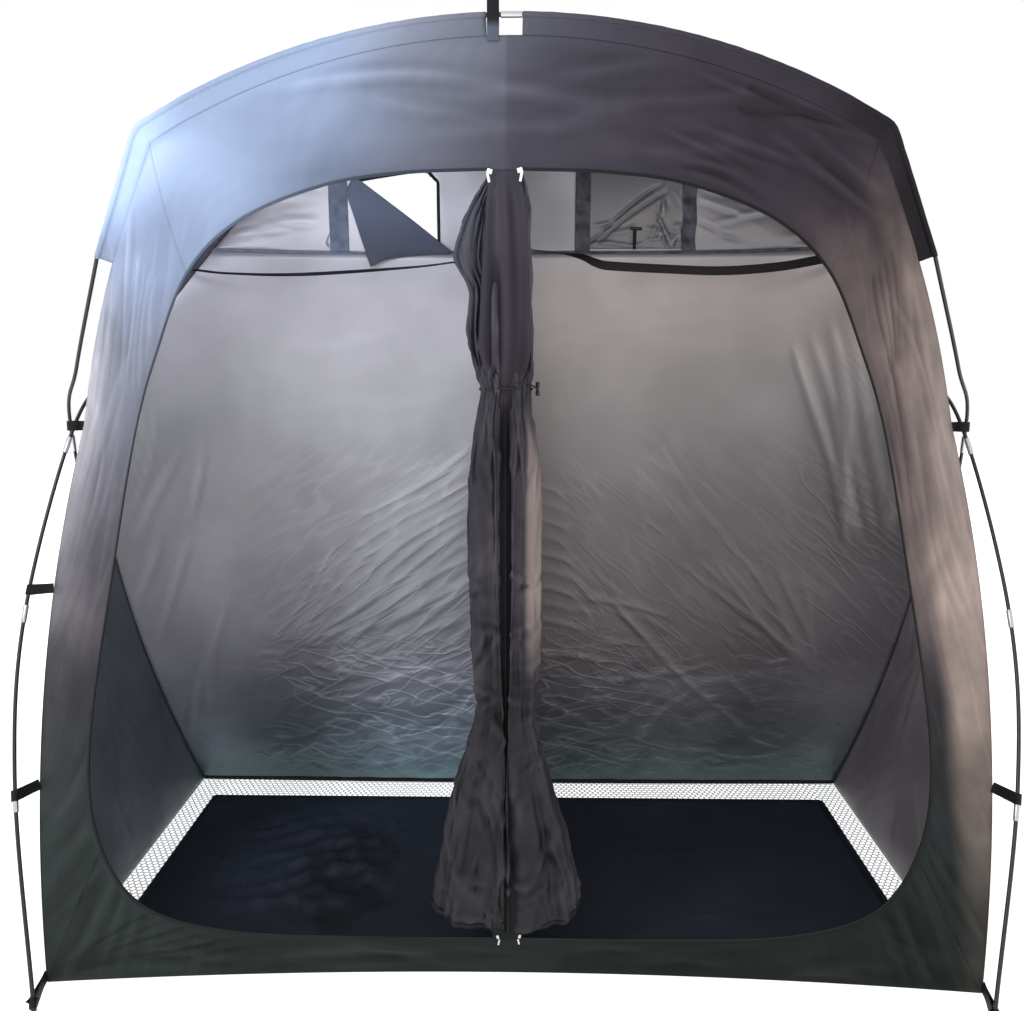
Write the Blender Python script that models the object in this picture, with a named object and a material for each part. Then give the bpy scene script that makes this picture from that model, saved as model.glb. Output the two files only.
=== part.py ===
"""Two-room shower tent with crossed arch poles, modelled piece by piece at its real size.

Metres, +Z up. The origin is on the floor at the middle of the tent, and the doors face -Y.
"""
import math

import bmesh
import bpy
from mathutils import Vector

# Fabric body
BASE_HALF_WIDTH = 1.055
BASE_HALF_DEPTH = 0.535
FRONT_HEM_BOW = 0.055
REAR_HEM_BOW = 0.015
CROSSING_HEIGHT = 1.23
CROSSING_HALF_WIDTH = 1.128
CROSSING_HALF_DEPTH = 0.012
SIDE_BELLY = 0.056
GABLE_BELLY = 0.022
SHOULDER_HEIGHT = 1.86
SHOULDER_HALF_WIDTH = 0.77
ROOF_HALF_DEPTH = 0.39
RIDGE_HEIGHT = 2.07
FABRIC = 0.003
SEAM_GAP = 0.0006
FOLD_GAP = 0.0012
CORNER_INSET = 0.0036
HEM_LIFT = 0.0005

# Doorways: half of each D-shaped outline, as (distance from the centre strip's middle, height)
STRIP_MIDDLE = -0.013
STRIP_HALF_WIDTH = 0.031
DOOR_TOP = 1.80
DOOR_BOTTOM = 0.085
DOOR_OUTLINE = (
    (STRIP_HALF_WIDTH, DOOR_TOP),
    (0.22, 1.793),
    (0.39, 1.768),
    (0.575, 1.698),
    (0.70, 1.59),
    (0.785, 1.42),
    (0.85, 1.245),
    (0.925, 0.90),
    (0.975, 0.63),
    (0.985, 0.43),
    (0.945, 0.275),
    (0.84, 0.155),
    (0.64, 0.10),
    (0.33, 0.086),
    (STRIP_HALF_WIDTH, DOOR_BOTTOM),
)
HEADER_CORNER = 4
SILL_CORNER = 10

# Windows in the band along the top of the rear wall
BAND_BOTTOM = 1.715
WINDOW_INNER = 0.20
WINDOW_OUTER = 0.535
WINDOW_BOTTOM = 1.732
WINDOW_TOP = 1.945
WINDOW_TOP_PART = 0.72
BORDER_TO_SIDE = 0.66
BORDER_LEVEL = 1.80
FLAP_THICKNESS = 0.002
FLAP_OVERLAP = 0.012
FLAP_UNDER_ROOF = 0.03

# Poles
ROD_RADIUS = 0.00475
ROD_SIDES = 8
FERRULE_RADIUS = 0.0065
FERRULE_LENGTH = 0.044
FERRULE_PITCH = 0.45
POLE_PEAK = 2.11
ELBOW = (0.80, 0.39, 1.89)
ELBOW_RADIUS = 0.06
SLEEVE_END = (0.955, 0.262, 1.635)
LEG_ROUTE = (
    (1.088, 0.112, 1.385),
    (1.165, 0.0, 1.23),
    (1.208, -0.22, 0.795),
    (1.163, -0.41, 0.436),
)
FOOT = (1.035, -0.635, 0.0)
CROSSING_SPREAD = ROD_RADIUS + 0.0003
POLE_JOINT_GAP = 0.0009
ARCH_STATIONS = (0.15, 0.27, 0.39, 0.50, 0.61, 0.70)
COLLAR_STEP = 0.0004
COLLAR_MARGIN = 0.002

# Sleeves, straps and ties
SLEEVE_CLEARANCE = 0.0005
SLEEVE_WALL = 0.0012
SLEEVE_NECK_GAP = 0.0006
SLEEVE_LIP_GAP = 0.0002
SLEEVE_DROP = 0.235
PEAK_NOTCH = {-1: 0.053, 1: 0.023}
WEBBING_WIDTH = 0.025
WEBBING = 0.0016
HALF_LOOP_GAP = 0.0003
STRAP_CLEARANCE = 0.0004
LOOP_SLACK = 0.0006
STRAP_ROOT = 0.0056
FOOT_STRAP_ROOT = 0.0078
FOOT_STRAP_WIDTH = 0.022
FOOT_STRAP_HEIGHT = 0.0165
UPPER_STRAP_HEIGHT = 0.835
LOWER_STRAP_HEIGHT = 0.40
FRONT_RIGHT_STRAP_HEIGHT = 0.41
CROSS_TIE_ROOT = 0.0050
CROSS_TIE_HALF_SPAN = 0.0150
CROSSING_LEAN = 0.0032
TIE_HEIGHT = 1.34
TIE_HALF_HEIGHT = 0.006
TIE_CLEARANCE = 0.0035
TIE_THICKNESS = 0.0025
TOGGLE_RADIUS = 0.0045
TOGGLE_HALF_HEIGHT = 0.015
TOGGLE_GAP = 0.0005
PEAK_TIE_MIDDLE = -0.0385
PEAK_TIE_RISE = 0.022
PEAK_TIE_BASE = 0.0022
PEAK_TIE_SLACK = 0.001

# Towel straps: each as (distance from the middle, height) from the curtain to the side
TOWEL_STRAP_DEPTH = 0.23
STRAP_LEVEL_RUN = 0.006
LEFT_STRAP = (1.690, (0.30, 1.655), (0.60, 1.637), 1.650)
RIGHT_STRAP = (1.708, (0.18, 1.687), (0.52, 1.656), 1.664)

# Floor
FLOOR_THICKNESS = 0.003
MESH_SIDE_WIDTH = 0.08
MESH_REAR_WIDTH = 0.12
MESH_GAP = 0.0004
MESH_END_GAP = 0.0008
MESH_CORNER = 0.012

# Clear space between a sheet and what lies against it
CLOTH_GAP = 0.0006
TOUCH_GAP = 0.0004

# Gathered doors: height, left edge and right edge of the bundle, and its depth behind the strip
DOOR_BUNDLE = (
    (0.032, -0.150, 0.112, 0.085),
    (0.075, -0.165, 0.125, 0.105),
    (0.20, -0.150, 0.105, 0.095),
    (0.40, -0.112, 0.072, 0.075),
    (0.585, -0.072, 0.046, 0.055),
    (0.72, -0.088, 0.060, 0.060),
    (1.00, -0.092, 0.068, 0.062),
    (1.22, -0.084, 0.055, 0.058),
    (TIE_HEIGHT, -0.074, 0.046, 0.046),
    (1.46, -0.090, 0.042, 0.056),
    (1.64, -0.100, 0.042, 0.050),
    (1.74, -0.072, 0.038, 0.036),
    (1.793, -0.046, 0.022, 0.020),
)

FRONT, REAR = -1, 1
LEFT, RIGHT = -1, 1


def clear_scene():
    for item in list(bpy.data.objects):
        bpy.data.objects.remove(item, do_unlink=True)


def make_material(name, colour, roughness, metallic=0.0):
    material = bpy.data.materials.new(name)
    material.use_nodes = True
    shader = material.node_tree.nodes["Principled BSDF"]
    shader.inputs["Base Color"].default_value = (*colour, 1.0)
    shader.inputs["Roughness"].default_value = roughness
    shader.inputs["Metallic"].default_value = metallic
    return material


def smoothstep(value):
    value = max(0.0, min(1.0, value))
    return value * value * (3 - 2 * value)


def curve_through(points, steps):
    """Points on a Catmull-Rom curve, with the given steps between each two of its own points."""
    points = [Vector(point) for point in points]
    first = 2 * points[0] - points[1]
    last = 2 * points[-1] - points[-2]
    padded = [first, *points, last]
    route = []
    for index in range(1, len(padded) - 2):
        a, b, c, d = padded[index - 1:index + 3]
        for step in range(steps):
            t = step / steps
            route.append(0.5 * (2 * b + (c - a) * t + (2 * a - 5 * b + 4 * c - d) * t * t
                                + (3 * b - a - 3 * c + d) * t ** 3))
    route.append(points[-1])
    return route


def arch_height(x, half_width, foot, peak):
    rise = peak - foot
    radius = (half_width ** 2 + rise ** 2) / (2 * rise)
    return peak - radius + math.sqrt(radius ** 2 - x ** 2)


def roof_height(x):
    return arch_height(x, SHOULDER_HALF_WIDTH, SHOULDER_HEIGHT, RIDGE_HEIGHT)


def seam_point(height):
    """Half width and half depth of the side seam, from the base corner up to the shoulder."""
    if height <= CROSSING_HEIGHT:
        part = height / CROSSING_HEIGHT
        belly = SIDE_BELLY * (1 - (2 * part - 1) ** 2)
        width = BASE_HALF_WIDTH + (CROSSING_HALF_WIDTH - BASE_HALF_WIDTH) * part + belly
        depth = BASE_HALF_DEPTH + (CROSSING_HALF_DEPTH - BASE_HALF_DEPTH) * part
    else:
        part = (height - CROSSING_HEIGHT) / (SHOULDER_HEIGHT - CROSSING_HEIGHT)
        belly = GABLE_BELLY * math.sin(math.pi * part)
        width = CROSSING_HALF_WIDTH + (SHOULDER_HALF_WIDTH - CROSSING_HALF_WIDTH) * part + belly
        depth = CROSSING_HALF_DEPTH + (ROOF_HALF_DEPTH - CROSSING_HALF_DEPTH) * part
    return width, depth


def wall_point(u, v, side):
    """Point of the front or rear wall: u runs from side seam to side seam, v from hem to ridge."""
    seam_height = v * SHOULDER_HEIGHT
    half_width, seam_depth = seam_point(seam_height)
    bow = FRONT_HEM_BOW if side == FRONT else REAR_HEM_BOW
    middle_depth = BASE_HALF_DEPTH - bow
    middle_depth += (ROOF_HALF_DEPTH - middle_depth) * v
    wrap = 2 + 3 * smoothstep(seam_height / CROSSING_HEIGHT)
    depth = middle_depth + (seam_depth - middle_depth) * abs(u) ** wrap
    height = v * roof_height(abs(u) * SHOULDER_HALF_WIDTH)
    return Vector((u * half_width, side * depth, max(height, HEM_LIFT)))


def wall_place(x, z):
    """The wall's own u and v at a distance from its middle and a height."""
    u = x / BASE_HALF_WIDTH
    v = z / RIDGE_HEIGHT
    for _ in range(20):
        u = x / seam_point(v * SHOULDER_HEIGHT)[0]
        v = min(1.0, z / roof_height(min(1.0, abs(u)) * SHOULDER_HALF_WIDTH))
    return u, v


def wall_at(x, z, side):
    return wall_point(*wall_place(x, z), side)


def add_object(name, mesh, material, smooth_angle=None):
    mesh.materials.append(material)
    if smooth_angle is not None:
        mesh.shade_smooth()
        mesh.set_sharp_from_angle(angle=math.radians(smooth_angle))
    piece = bpy.data.objects.new(name, mesh)
    bpy.context.scene.collection.objects.link(piece)
    return piece


def add_mesh(name, points, faces, material, smooth_angle=None):
    bm = bmesh.new()
    corners = [bm.verts.new(point) for point in points]
    for face in faces:
        bm.faces.new([corners[index] for index in face])
    bmesh.ops.recalc_face_normals(bm, faces=bm.faces)
    mesh = bpy.data.meshes.new(name)
    bm.to_mesh(mesh)
    bm.free()
    return add_object(name, mesh, material, smooth_angle)


def add_sheet(name, rows, material, thickness=FABRIC, hole=None):
    """A sheet of fabric on a grid of points, thickened evenly to both sides."""
    columns = len(rows[0])
    points = [point for row in rows for point in row]
    faces = []
    for row in range(len(rows) - 1):
        for column in range(columns - 1):
            if hole is None or not hole(row, column):
                start = row * columns + column
                faces.append((start, start + 1, start + columns + 1, start + columns))
    piece = add_mesh(name, points, faces, material, smooth_angle=40)
    solidify = piece.modifiers.new("thickness", "SOLIDIFY")
    solidify.thickness = thickness
    solidify.offset = 0.0
    return piece


def pull_in_ends(rows, gap):
    """Moves the first and last column of a grid towards their neighbours by a gap."""
    for row in rows:
        for end, inner in ((0, 1), (-1, -2)):
            step = row[inner] - row[end]
            row[end] = row[end] + step.normalized() * gap
    return rows


def shortened(rows, gap, first=True, last=True):
    """Moves the first and last row of a grid towards their neighbours by a gap."""
    pairs = ([(0, 1)] if first else []) + ([(-1, -2)] if last else [])
    for end, inner in pairs:
        for column, point in enumerate(rows[end]):
            step = rows[inner][column] - point
            rows[end][column] = point + step.normalized() * gap
    return rows


def add_loft(name, sections, material, smooth_angle=None):
    """A solid through rings of points, capped at both ends."""
    count = len(sections[0])
    points = [point for section in sections for point in section]
    faces = []
    for index in range(len(sections) - 1):
        start = index * count
        following = start + count
        for corner in range(count):
            after = (corner + 1) % count
            faces.append((start + corner, start + after, following + after, following + corner))
    faces.append(tuple(range(count)))
    faces.append(tuple(range(len(points) - count, len(points))))
    return add_mesh(name, points, faces, material, smooth_angle)


def tangents(route):
    directions = []
    for index in range(len(route)):
        before = route[max(index - 1, 0)]
        after = route[min(index + 1, len(route) - 1)]
        here = route[index]
        incoming = (here - before).normalized() if index else (after - here).normalized()
        outgoing = (after - here).normalized() if index < len(route) - 1 else incoming
        directions.append((incoming + outgoing).normalized())
    return directions


def route_length(route):
    return sum((b - a).length for a, b in zip(route, route[1:]))


def rod_stations(route, ferrule_centres):
    """Route points with a radius each: the rod, and a thicker collar at each ferrule."""
    stations = []
    travelled = 0.0
    lengths = [0.0]
    for a, b in zip(route, route[1:]):
        travelled += (b - a).length
        lengths.append(travelled)
    edges = []
    for centre in ferrule_centres:
        low = centre - FERRULE_LENGTH / 2
        high = centre + FERRULE_LENGTH / 2
        edges += [(low, (ROD_RADIUS, FERRULE_RADIUS)), (high, (FERRULE_RADIUS, ROD_RADIUS))]

    def radius_at(distance):
        inside = any(abs(distance - centre) < FERRULE_LENGTH / 2 for centre in ferrule_centres)
        return FERRULE_RADIUS if inside else ROD_RADIUS

    directions = tangents(route)
    for index, (a, b) in enumerate(zip(route, route[1:])):
        stations.append((a, directions[index], radius_at(lengths[index])))
        for distance, (first, second) in edges:
            if lengths[index] + COLLAR_MARGIN < distance < lengths[index + 1] - COLLAR_MARGIN:
                part = (distance - lengths[index]) / (b - a).length
                here = a.lerp(b, part)
                along = (b - a).normalized()
                stations.append((here - along * COLLAR_STEP, along, first))
                stations.append((here + along * COLLAR_STEP, along, second))
    stations.append((route[-1], directions[-1], radius_at(travelled)))
    return stations


def ring(centre, direction, radius, across):
    across = (across - direction * across.dot(direction)).normalized()
    up = direction.cross(across)
    points = []
    for index in range(ROD_SIDES):
        angle = 2 * math.pi * (index + 0.5) / ROD_SIDES
        points.append(centre + radius * (math.cos(angle) * across + math.sin(angle) * up))
    return points


def add_rod(name, route, ferrule_centres, material, foot=False):
    """A round rod along a route. With a foot, its last ring is cut level with the floor."""
    sections = []
    across = Vector((0, 1, 0))
    for centre, direction, radius in rod_stations(route, ferrule_centres):
        across = (across - direction * across.dot(direction)).normalized()
        sections.append(ring(centre, direction, radius, across))
    if foot:
        direction = tangents(route)[-1]
        sections[-1] = [point - direction * (point.z / direction.z) for point in sections[-1]]
    return add_loft(name, sections, material, smooth_angle=50)


def pole_half(side, roof):
    """Right or left half of a pole: its roof part from the peak to the sleeve's end, and its leg.

    The pole of the front roof arch runs down the side to the rear foot, and the other way round.
    """
    spread = CROSSING_SPREAD if roof == FRONT else -CROSSING_SPREAD

    def placed(point, shift=0.0):
        return Vector((side * (point[0] + shift), roof * point[1], point[2]))

    roof_part = []
    for x in (0.0, PEAK_NOTCH[side], *ARCH_STATIONS):
        height = arch_height(x, ELBOW[0], ELBOW[2], POLE_PEAK)
        roof_part.append(placed((x, ROOF_HALF_DEPTH, height)))
    elbow = placed(ELBOW)
    incoming = (elbow - roof_part[-1]).normalized()
    outgoing = (placed(SLEEVE_END) - elbow).normalized()
    bend = incoming.angle(outgoing)
    reach = ELBOW_RADIUS * math.tan(bend / 2)
    start = elbow - incoming * reach
    end = elbow + outgoing * reach
    for part in (0.0, 0.33, 0.67, 1.0):
        near = start.lerp(elbow, part)
        far = elbow.lerp(end, part)
        roof_part.append(near.lerp(far, part))
    sleeve_end = placed(SLEEVE_END)
    roof_part += [end.lerp(sleeve_end, 0.5), sleeve_end]

    leg_points = [sleeve_end]
    for index, point in enumerate(LEG_ROUTE):
        shift = spread if index == 1 else spread * 0.5 if index == 0 else 0.0
        leg_points.append(placed(point, shift))
    leg_points.append(placed(FOOT))
    leg = curve_through(leg_points, 4)
    leg[0] = leg[0] + (leg[1] - leg[0]).normalized() * POLE_JOINT_GAP
    return roof_part, leg


def add_poles(material):
    for roof, label in ((FRONT, "front"), (REAR, "rear")):
        other = "rear" if roof == FRONT else "front"
        right, right_leg = pole_half(RIGHT, roof)
        left, left_leg = pole_half(LEFT, roof)
        arch = list(reversed(left[1:])) + right
        middle = route_length(arch) / 2
        add_rod(f"{label}_roof_pole", arch, [middle], material)
        for leg, side_name in ((left_leg, "left"), (right_leg, "right")):
            total = route_length(leg)
            centres = [total - FERRULE_PITCH * count for count in (1, 2, 3)]
            add_rod(f"{other}_{side_name}_leg_pole", leg, centres, material, foot=True)


def strap_section(centre, along, across, width, thickness):
    across = (across - along * across.dot(along)).normalized()
    normal = along.cross(across)
    half_width = across * (width / 2)
    half_thickness = normal * (thickness / 2)
    return [centre - half_width - half_thickness, centre + half_width - half_thickness,
            centre + half_width + half_thickness, centre - half_width + half_thickness]


def add_strap(name, route, across, material, width=WEBBING_WIDTH, thickness=WEBBING):
    """Flat webbing along a route. across is the direction of its width, one or one a point."""
    if isinstance(across, Vector):
        across = [across] * len(route)
    sections = []
    for point, along, direction in zip(route, tangents(route), across):
        sections.append(strap_section(point, along, direction, width, thickness))
    return add_loft(name, sections, material)


def loop_route(anchor, centre, width_direction, reach):
    """From an anchor, round a rod and back: two runs side by side and a half turn."""
    towards = centre - anchor
    towards -= width_direction * towards.dot(width_direction)
    towards.normalize()
    sideways = width_direction.cross(towards).normalized()
    root = WEBBING / 2 + HALF_LOOP_GAP
    half_turn = []
    for step in range(9):
        angle = math.radians(-90 + 180 * step / 8)
        half_turn.append(centre + reach * (math.cos(angle) * towards + math.sin(angle) * sideways))
    neck = anchor.lerp(centre, 0.35)
    return ([anchor - sideways * root, neck - sideways * root] + half_turn
            + [neck + sideways * root, anchor + sideways * root])


def nearest_on_route(route, height):
    for a, b in zip(route, route[1:]):
        if (a.z - height) * (b.z - height) <= 0:
            part = (height - a.z) / (b.z - a.z)
            return a.lerp(b, part), (a - b).normalized()
    raise ValueError("no such height on the route")


def seam_at(side, end, height):
    half_width, depth = seam_point(height)
    return Vector((side * half_width, end * depth, height))


def add_side_straps(material):
    both = (LOWER_STRAP_HEIGHT, UPPER_STRAP_HEIGHT)
    heights = {
        ("front", "left"): both,
        ("front", "right"): (FRONT_RIGHT_STRAP_HEIGHT,),
        ("rear", "left"): both,
        ("rear", "right"): both,
    }
    for (end_name, side_name), levels in heights.items():
        end = FRONT if end_name == "front" else REAR
        side = LEFT if side_name == "left" else RIGHT
        leg = pole_half(side, -end)[1]
        for level in levels:
            centre, along = nearest_on_route(leg, level)
            seam = seam_at(side, end, level)
            anchor = seam + (centre - seam).normalized() * STRAP_ROOT
            place = "upper" if level == UPPER_STRAP_HEIGHT else "lower"
            core = ROD_RADIUS if place == "upper" else FERRULE_RADIUS
            reach = core + STRAP_CLEARANCE + WEBBING / 2 + LOOP_SLACK
            add_strap(f"{end_name}_{side_name}_{place}_strap",
                      loop_route(anchor, centre, along, reach), along, material)


def add_cross_ties(material):
    for side, side_name in ((LEFT, "left"), (RIGHT, "right")):
        up = Vector((0, 0, 1))
        anchor = Vector((side * (CROSSING_HALF_WIDTH + CROSS_TIE_ROOT), 0, CROSSING_HEIGHT))
        both_poles = CROSSING_SPREAD + ROD_RADIUS + CROSSING_LEAN
        inner = LEG_ROUTE[1][0] - both_poles
        outer = LEG_ROUTE[1][0] + both_poles
        far = outer + STRAP_CLEARANCE + WEBBING / 2
        span = CROSS_TIE_HALF_SPAN
        root = WEBBING / 2 + HALF_LOOP_GAP
        half = [(anchor.x * side, root), (inner - 0.014, root), (inner - 0.002, span * 0.75),
                (inner + 0.004, span), (outer - 0.003, span), (far, span * 0.8),
                (far + 0.0008, span * 0.3)]
        outline = half + [(x, -y) for x, y in reversed(half)]
        route = [Vector((side * x, y, CROSSING_HEIGHT)) for x, y in outline]
        add_strap(f"{side_name}_cross_tie", route, up, material)


def add_foot_straps(material):
    for end, end_name in ((FRONT, "front"), (REAR, "rear")):
        for side, side_name in ((LEFT, "left"), (RIGHT, "right")):
            leg = pole_half(side, -end)[1]
            centre, along = nearest_on_route(leg, FOOT_STRAP_HEIGHT)
            seam = seam_at(side, end, FOOT_STRAP_HEIGHT)
            anchor = seam + (centre - seam).normalized() * FOOT_STRAP_ROOT
            reach = ROD_RADIUS + STRAP_CLEARANCE + WEBBING / 2 + LOOP_SLACK
            add_strap(f"{end_name}_{side_name}_foot_strap",
                      loop_route(anchor, centre, along, reach), along, material,
                      width=FOOT_STRAP_WIDTH)


def add_peak_ties(material):
    for end, end_name in ((FRONT, "front"), (REAR, "rear")):
        clear = FERRULE_RADIUS + STRAP_CLEARANCE + WEBBING / 2 + PEAK_TIE_SLACK
        root = WEBBING / 2 + HALF_LOOP_GAP
        base = RIDGE_HEIGHT + PEAK_TIE_BASE
        top = POLE_PEAK + FERRULE_RADIUS + PEAK_TIE_RISE
        half = [(root, base), (root, base + 0.006), (clear, POLE_PEAK - 0.010),
                (clear, POLE_PEAK + 0.006), (clear * 0.75, top - 0.004), (clear * 0.3, top)]
        outline = half + [(-y, z) for y, z in reversed(half)]
        route = [Vector((PEAK_TIE_MIDDLE, end * ROOF_HALF_DEPTH + y, z)) for y, z in outline]
        add_strap(f"{end_name}_peak_tie", route, Vector((1, 0, 0)), material)


def sleeve_section(pole, seam, along):
    """A fin that rises from the seam and closes round the rod, as one open P shape."""
    rise = pole - seam
    rise -= along * rise.dot(along)
    height = rise.length
    rise.normalize()
    across = along.cross(rise)
    inner = (ROD_RADIUS + SLEEVE_CLEARANCE) / math.cos(math.pi / 10)
    outer = inner + SLEEVE_WALL
    half = SLEEVE_WALL / 2
    bottom = CORNER_INSET - height
    outside = []
    inside = []
    for step in range(10):
        angle = math.radians(-90 + 12 + 336 * step / 9)
        outside.append((outer * math.cos(angle), outer * math.sin(angle)))
        inside.append((inner * math.cos(angle), inner * math.sin(angle)))
    neck = -outer - SLEEVE_NECK_GAP
    outline = [(-half, bottom), (half, bottom), (half, neck)]
    outline += outside
    outline += list(reversed(inside))
    outline += [(outside[0][0] - SLEEVE_WALL, -inner - SLEEVE_LIP_GAP), (-half, neck)]
    return [pole + across * x + rise * y for x, y in outline]


def add_sleeves(material):
    for end, end_name in ((FRONT, "front"), (REAR, "rear")):
        for side, side_name in ((LEFT, "left"), (RIGHT, "right")):
            route = pole_half(side, end)[0]
            directions = tangents(route)
            sections = []
            for index in range(1, len(route)):
                pole = route[index]
                across = abs(pole.x)
                if across < ELBOW[0] - 0.02:
                    x = min(across, SHOULDER_HALF_WIDTH)
                    seam = Vector((side * x, end * ROOF_HALF_DEPTH, roof_height(x)))
                else:
                    drop = (ELBOW[2] - pole.z) / (ELBOW[2] - SLEEVE_END[2])
                    drop = max(0.0, min(1.0, drop))
                    seam = seam_at(side, end, SHOULDER_HEIGHT - drop * SLEEVE_DROP)
                sections.append(sleeve_section(pole, seam, directions[index]))
            add_loft(f"{end_name}_{side_name}_sleeve", sections, material, smooth_angle=50)


def strip_grid(edge, border, rows):
    """Grid between a doorway's edge and the wall's border, both as lists of wall places."""
    grid = []
    for row in range(rows + 1):
        part = row / rows
        line = []
        for (u, v), (border_u, border_v) in zip(edge, border):
            line.append(wall_point(u + (border_u - u) * part, v + (border_v - v) * part, FRONT))
        grid.append(line)
    return grid


def door_edge(side, first, last):
    """Wall places along one side's doorway edge, between two of its outline's corners."""
    outline = curve_through([(x, z) for x, z in DOOR_OUTLINE], 2)
    places = outline[first * 2:last * 2 + 1]
    return [wall_place(STRIP_MIDDLE + side * point.x, point.y) for point in places]


def spaced(start, end, count):
    return [start + (end - start) * index / (count - 1) for index in range(count)]


def border_parts(edge_points):
    """How far along a run of edge points each one lies, from 0 to 1."""
    lengths = [0.0]
    for (u, v), (next_u, next_v) in zip(edge_points, edge_points[1:]):
        lengths.append(lengths[-1] + math.hypot(next_u - u, next_v - v))
    return [length / lengths[-1] for length in lengths]


def add_front_wall(material):
    last = len(DOOR_OUTLINE) - 1
    header_edge = []
    header_border = []
    sill_edge = []
    sill_border = []
    for side in (LEFT, RIGHT):
        top = door_edge(side, 0, HEADER_CORNER)
        top_border = [(side * (abs(top[0][0]) + (1 - abs(top[0][0])) * part), 1.0)
                      for part in border_parts(top)]
        low = list(reversed(door_edge(side, SILL_CORNER, last)))
        low_border = [(side * (abs(low[0][0]) + (1 - abs(low[0][0])) * part), 0.0)
                      for part in border_parts(low)]
        if side == LEFT:
            top, top_border = top[::-1], top_border[::-1]
            low, low_border = low[::-1], low_border[::-1]
        header_edge += top
        header_border += top_border
        sill_edge += low
        sill_border += low_border
        panel = door_edge(side, HEADER_CORNER, SILL_CORNER)
        panel_border = [(side * 1.0, 1.0 - part) for part in border_parts(panel)]
        grid = pull_in_ends(strip_grid(panel, panel_border, 3), FOLD_GAP)
        name = "front_left_panel" if side == LEFT else "front_right_panel"
        add_sheet(name, grid, material)
    add_sheet("front_header", strip_grid(header_edge, header_border, 3), material)
    add_sheet("front_sill", strip_grid(sill_edge, sill_border, 1), material)

    rows = []
    for z in spaced(DOOR_BOTTOM + SEAM_GAP, DOOR_TOP - SEAM_GAP, 9):
        row = [wall_at(STRIP_MIDDLE + x, z, FRONT) for x in (-STRIP_HALF_WIDTH, STRIP_HALF_WIDTH)]
        rows.append(row)
    add_sheet("front_centre_strip", rows, material)


def band_bottom_place(u):
    return BAND_BOTTOM / roof_height(abs(u) * SHOULDER_HALF_WIDTH)


def add_rear_wall(material):
    columns = spaced(-1.0, 1.0, 17)
    rows = []
    for part in spaced(0.0, 1.0, 10):
        rows.append([wall_point(u, band_bottom_place(u) * part, REAR) for u in columns])
    add_sheet("rear_wall", shortened(rows, SEAM_GAP, first=False), material)


def add_window_band(material):
    window = spaced(WINDOW_INNER, WINDOW_OUTER, 4)
    side_seam = 1.0
    right = [*window, BORDER_TO_SIDE, side_seam]
    columns = [-x for x in reversed(right)] + [0.0] + right

    def column_points(x):
        """The band's four points at a distance from the middle, or along a side seam."""
        if abs(x) == side_seam:
            bottom = wall_point(x, band_bottom_place(side_seam), REAR).z
            heights = (bottom, WINDOW_BOTTOM, BORDER_LEVEL, SHOULDER_HEIGHT)
            return [wall_point(x, height / SHOULDER_HEIGHT, REAR) for height in heights]
        top = roof_height(abs(x))
        window_top = min(WINDOW_TOP, BAND_BOTTOM + WINDOW_TOP_PART * (top - BAND_BOTTOM))
        return [wall_at(x, z, REAR) for z in (BAND_BOTTOM, WINDOW_BOTTOM, window_top, top)]

    rows = [list(row) for row in zip(*[column_points(x) for x in columns])]
    windows = (2, 3, 4, 7, 8, 9)
    add_sheet("rear_window_band", rows, material,
              hole=lambda row, column: row == 1 and column in windows)


def add_window_flaps(material):
    inward = FABRIC / 2 + FLAP_THICKNESS / 2 + TOUCH_GAP
    rows = []
    for z in spaced(WINDOW_BOTTOM - 0.008, WINDOW_TOP + 0.004, 4):
        row = []
        inner = spaced(WINDOW_INNER, WINDOW_OUTER, 4)
        for x in [WINDOW_INNER - FLAP_OVERLAP, *inner, WINDOW_OUTER + FLAP_OVERLAP]:
            top = roof_height(x) - FLAP_UNDER_ROOF
            point = wall_at(x, min(z, top), REAR)
            point.y -= inward + FOLD_GAP
            row.append(point)
        rows.append(row)
    add_sheet("right_window_flap", rows, material, FLAP_THICKNESS)

    def hanging(x, z, fall):
        point = wall_at(x, z, REAR)
        point.y -= inward + fall + CLOTH_GAP
        return point

    top_line = [hanging(-WINDOW_OUTER + 0.05, WINDOW_TOP - 0.012, 0.0),
                hanging(-0.39, 1.845, 0.004),
                hanging(-WINDOW_INNER - 0.01, WINDOW_BOTTOM + 0.004, 0.0)]
    hem_line = [hanging(-WINDOW_OUTER + 0.075, 1.80, 0.012),
                hanging(-0.40, 1.752, 0.014),
                hanging(-WINDOW_INNER - 0.03, WINDOW_BOTTOM - 0.016, 0.001)]
    add_sheet("left_window_flap", [top_line, hem_line], material, FLAP_THICKNESS)


def add_sides(material):
    for side, side_name in ((LEFT, "left"), (RIGHT, "right")):
        half_gap = FOLD_GAP / 2
        lower = spaced(HEM_LIFT, CROSSING_HEIGHT - half_gap, 9)
        upper = spaced(CROSSING_HEIGHT + half_gap, SHOULDER_HEIGHT - half_gap, 6)
        for name, heights in (("lower_side", lower), ("upper_side", upper)):
            rows = []
            for height in heights:
                half_width, depth = seam_point(height)
                depth -= CORNER_INSET
                rows.append([Vector((side * half_width, y, height))
                             for y in spaced(-depth, depth, 5)])
            add_sheet(f"{side_name}_{name}", rows, material)


def add_roof(material):
    depth = ROOF_HALF_DEPTH - CORNER_INSET
    reach = SHOULDER_HALF_WIDTH - FOLD_GAP / 2
    rows = []
    for x in spaced(-reach, reach, 17):
        rows.append([Vector((x, y, roof_height(x))) for y in spaced(-depth, depth, 5)])
    add_sheet("roof_panel", rows, material)


def wall_depth_at_floor(x, side, height):
    return abs(wall_at(x, height, side).y)


def flat_plate(name, near_edge, far_edge, material):
    """A level plate between two edges that have as many points each."""
    outline = near_edge + far_edge[::-1]
    sections = [[Vector((x, y, 0.0)) for x, y in outline],
                [Vector((x, y, FLOOR_THICKNESS)) for x, y in outline]]
    return add_loft(name, sections, material)


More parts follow.
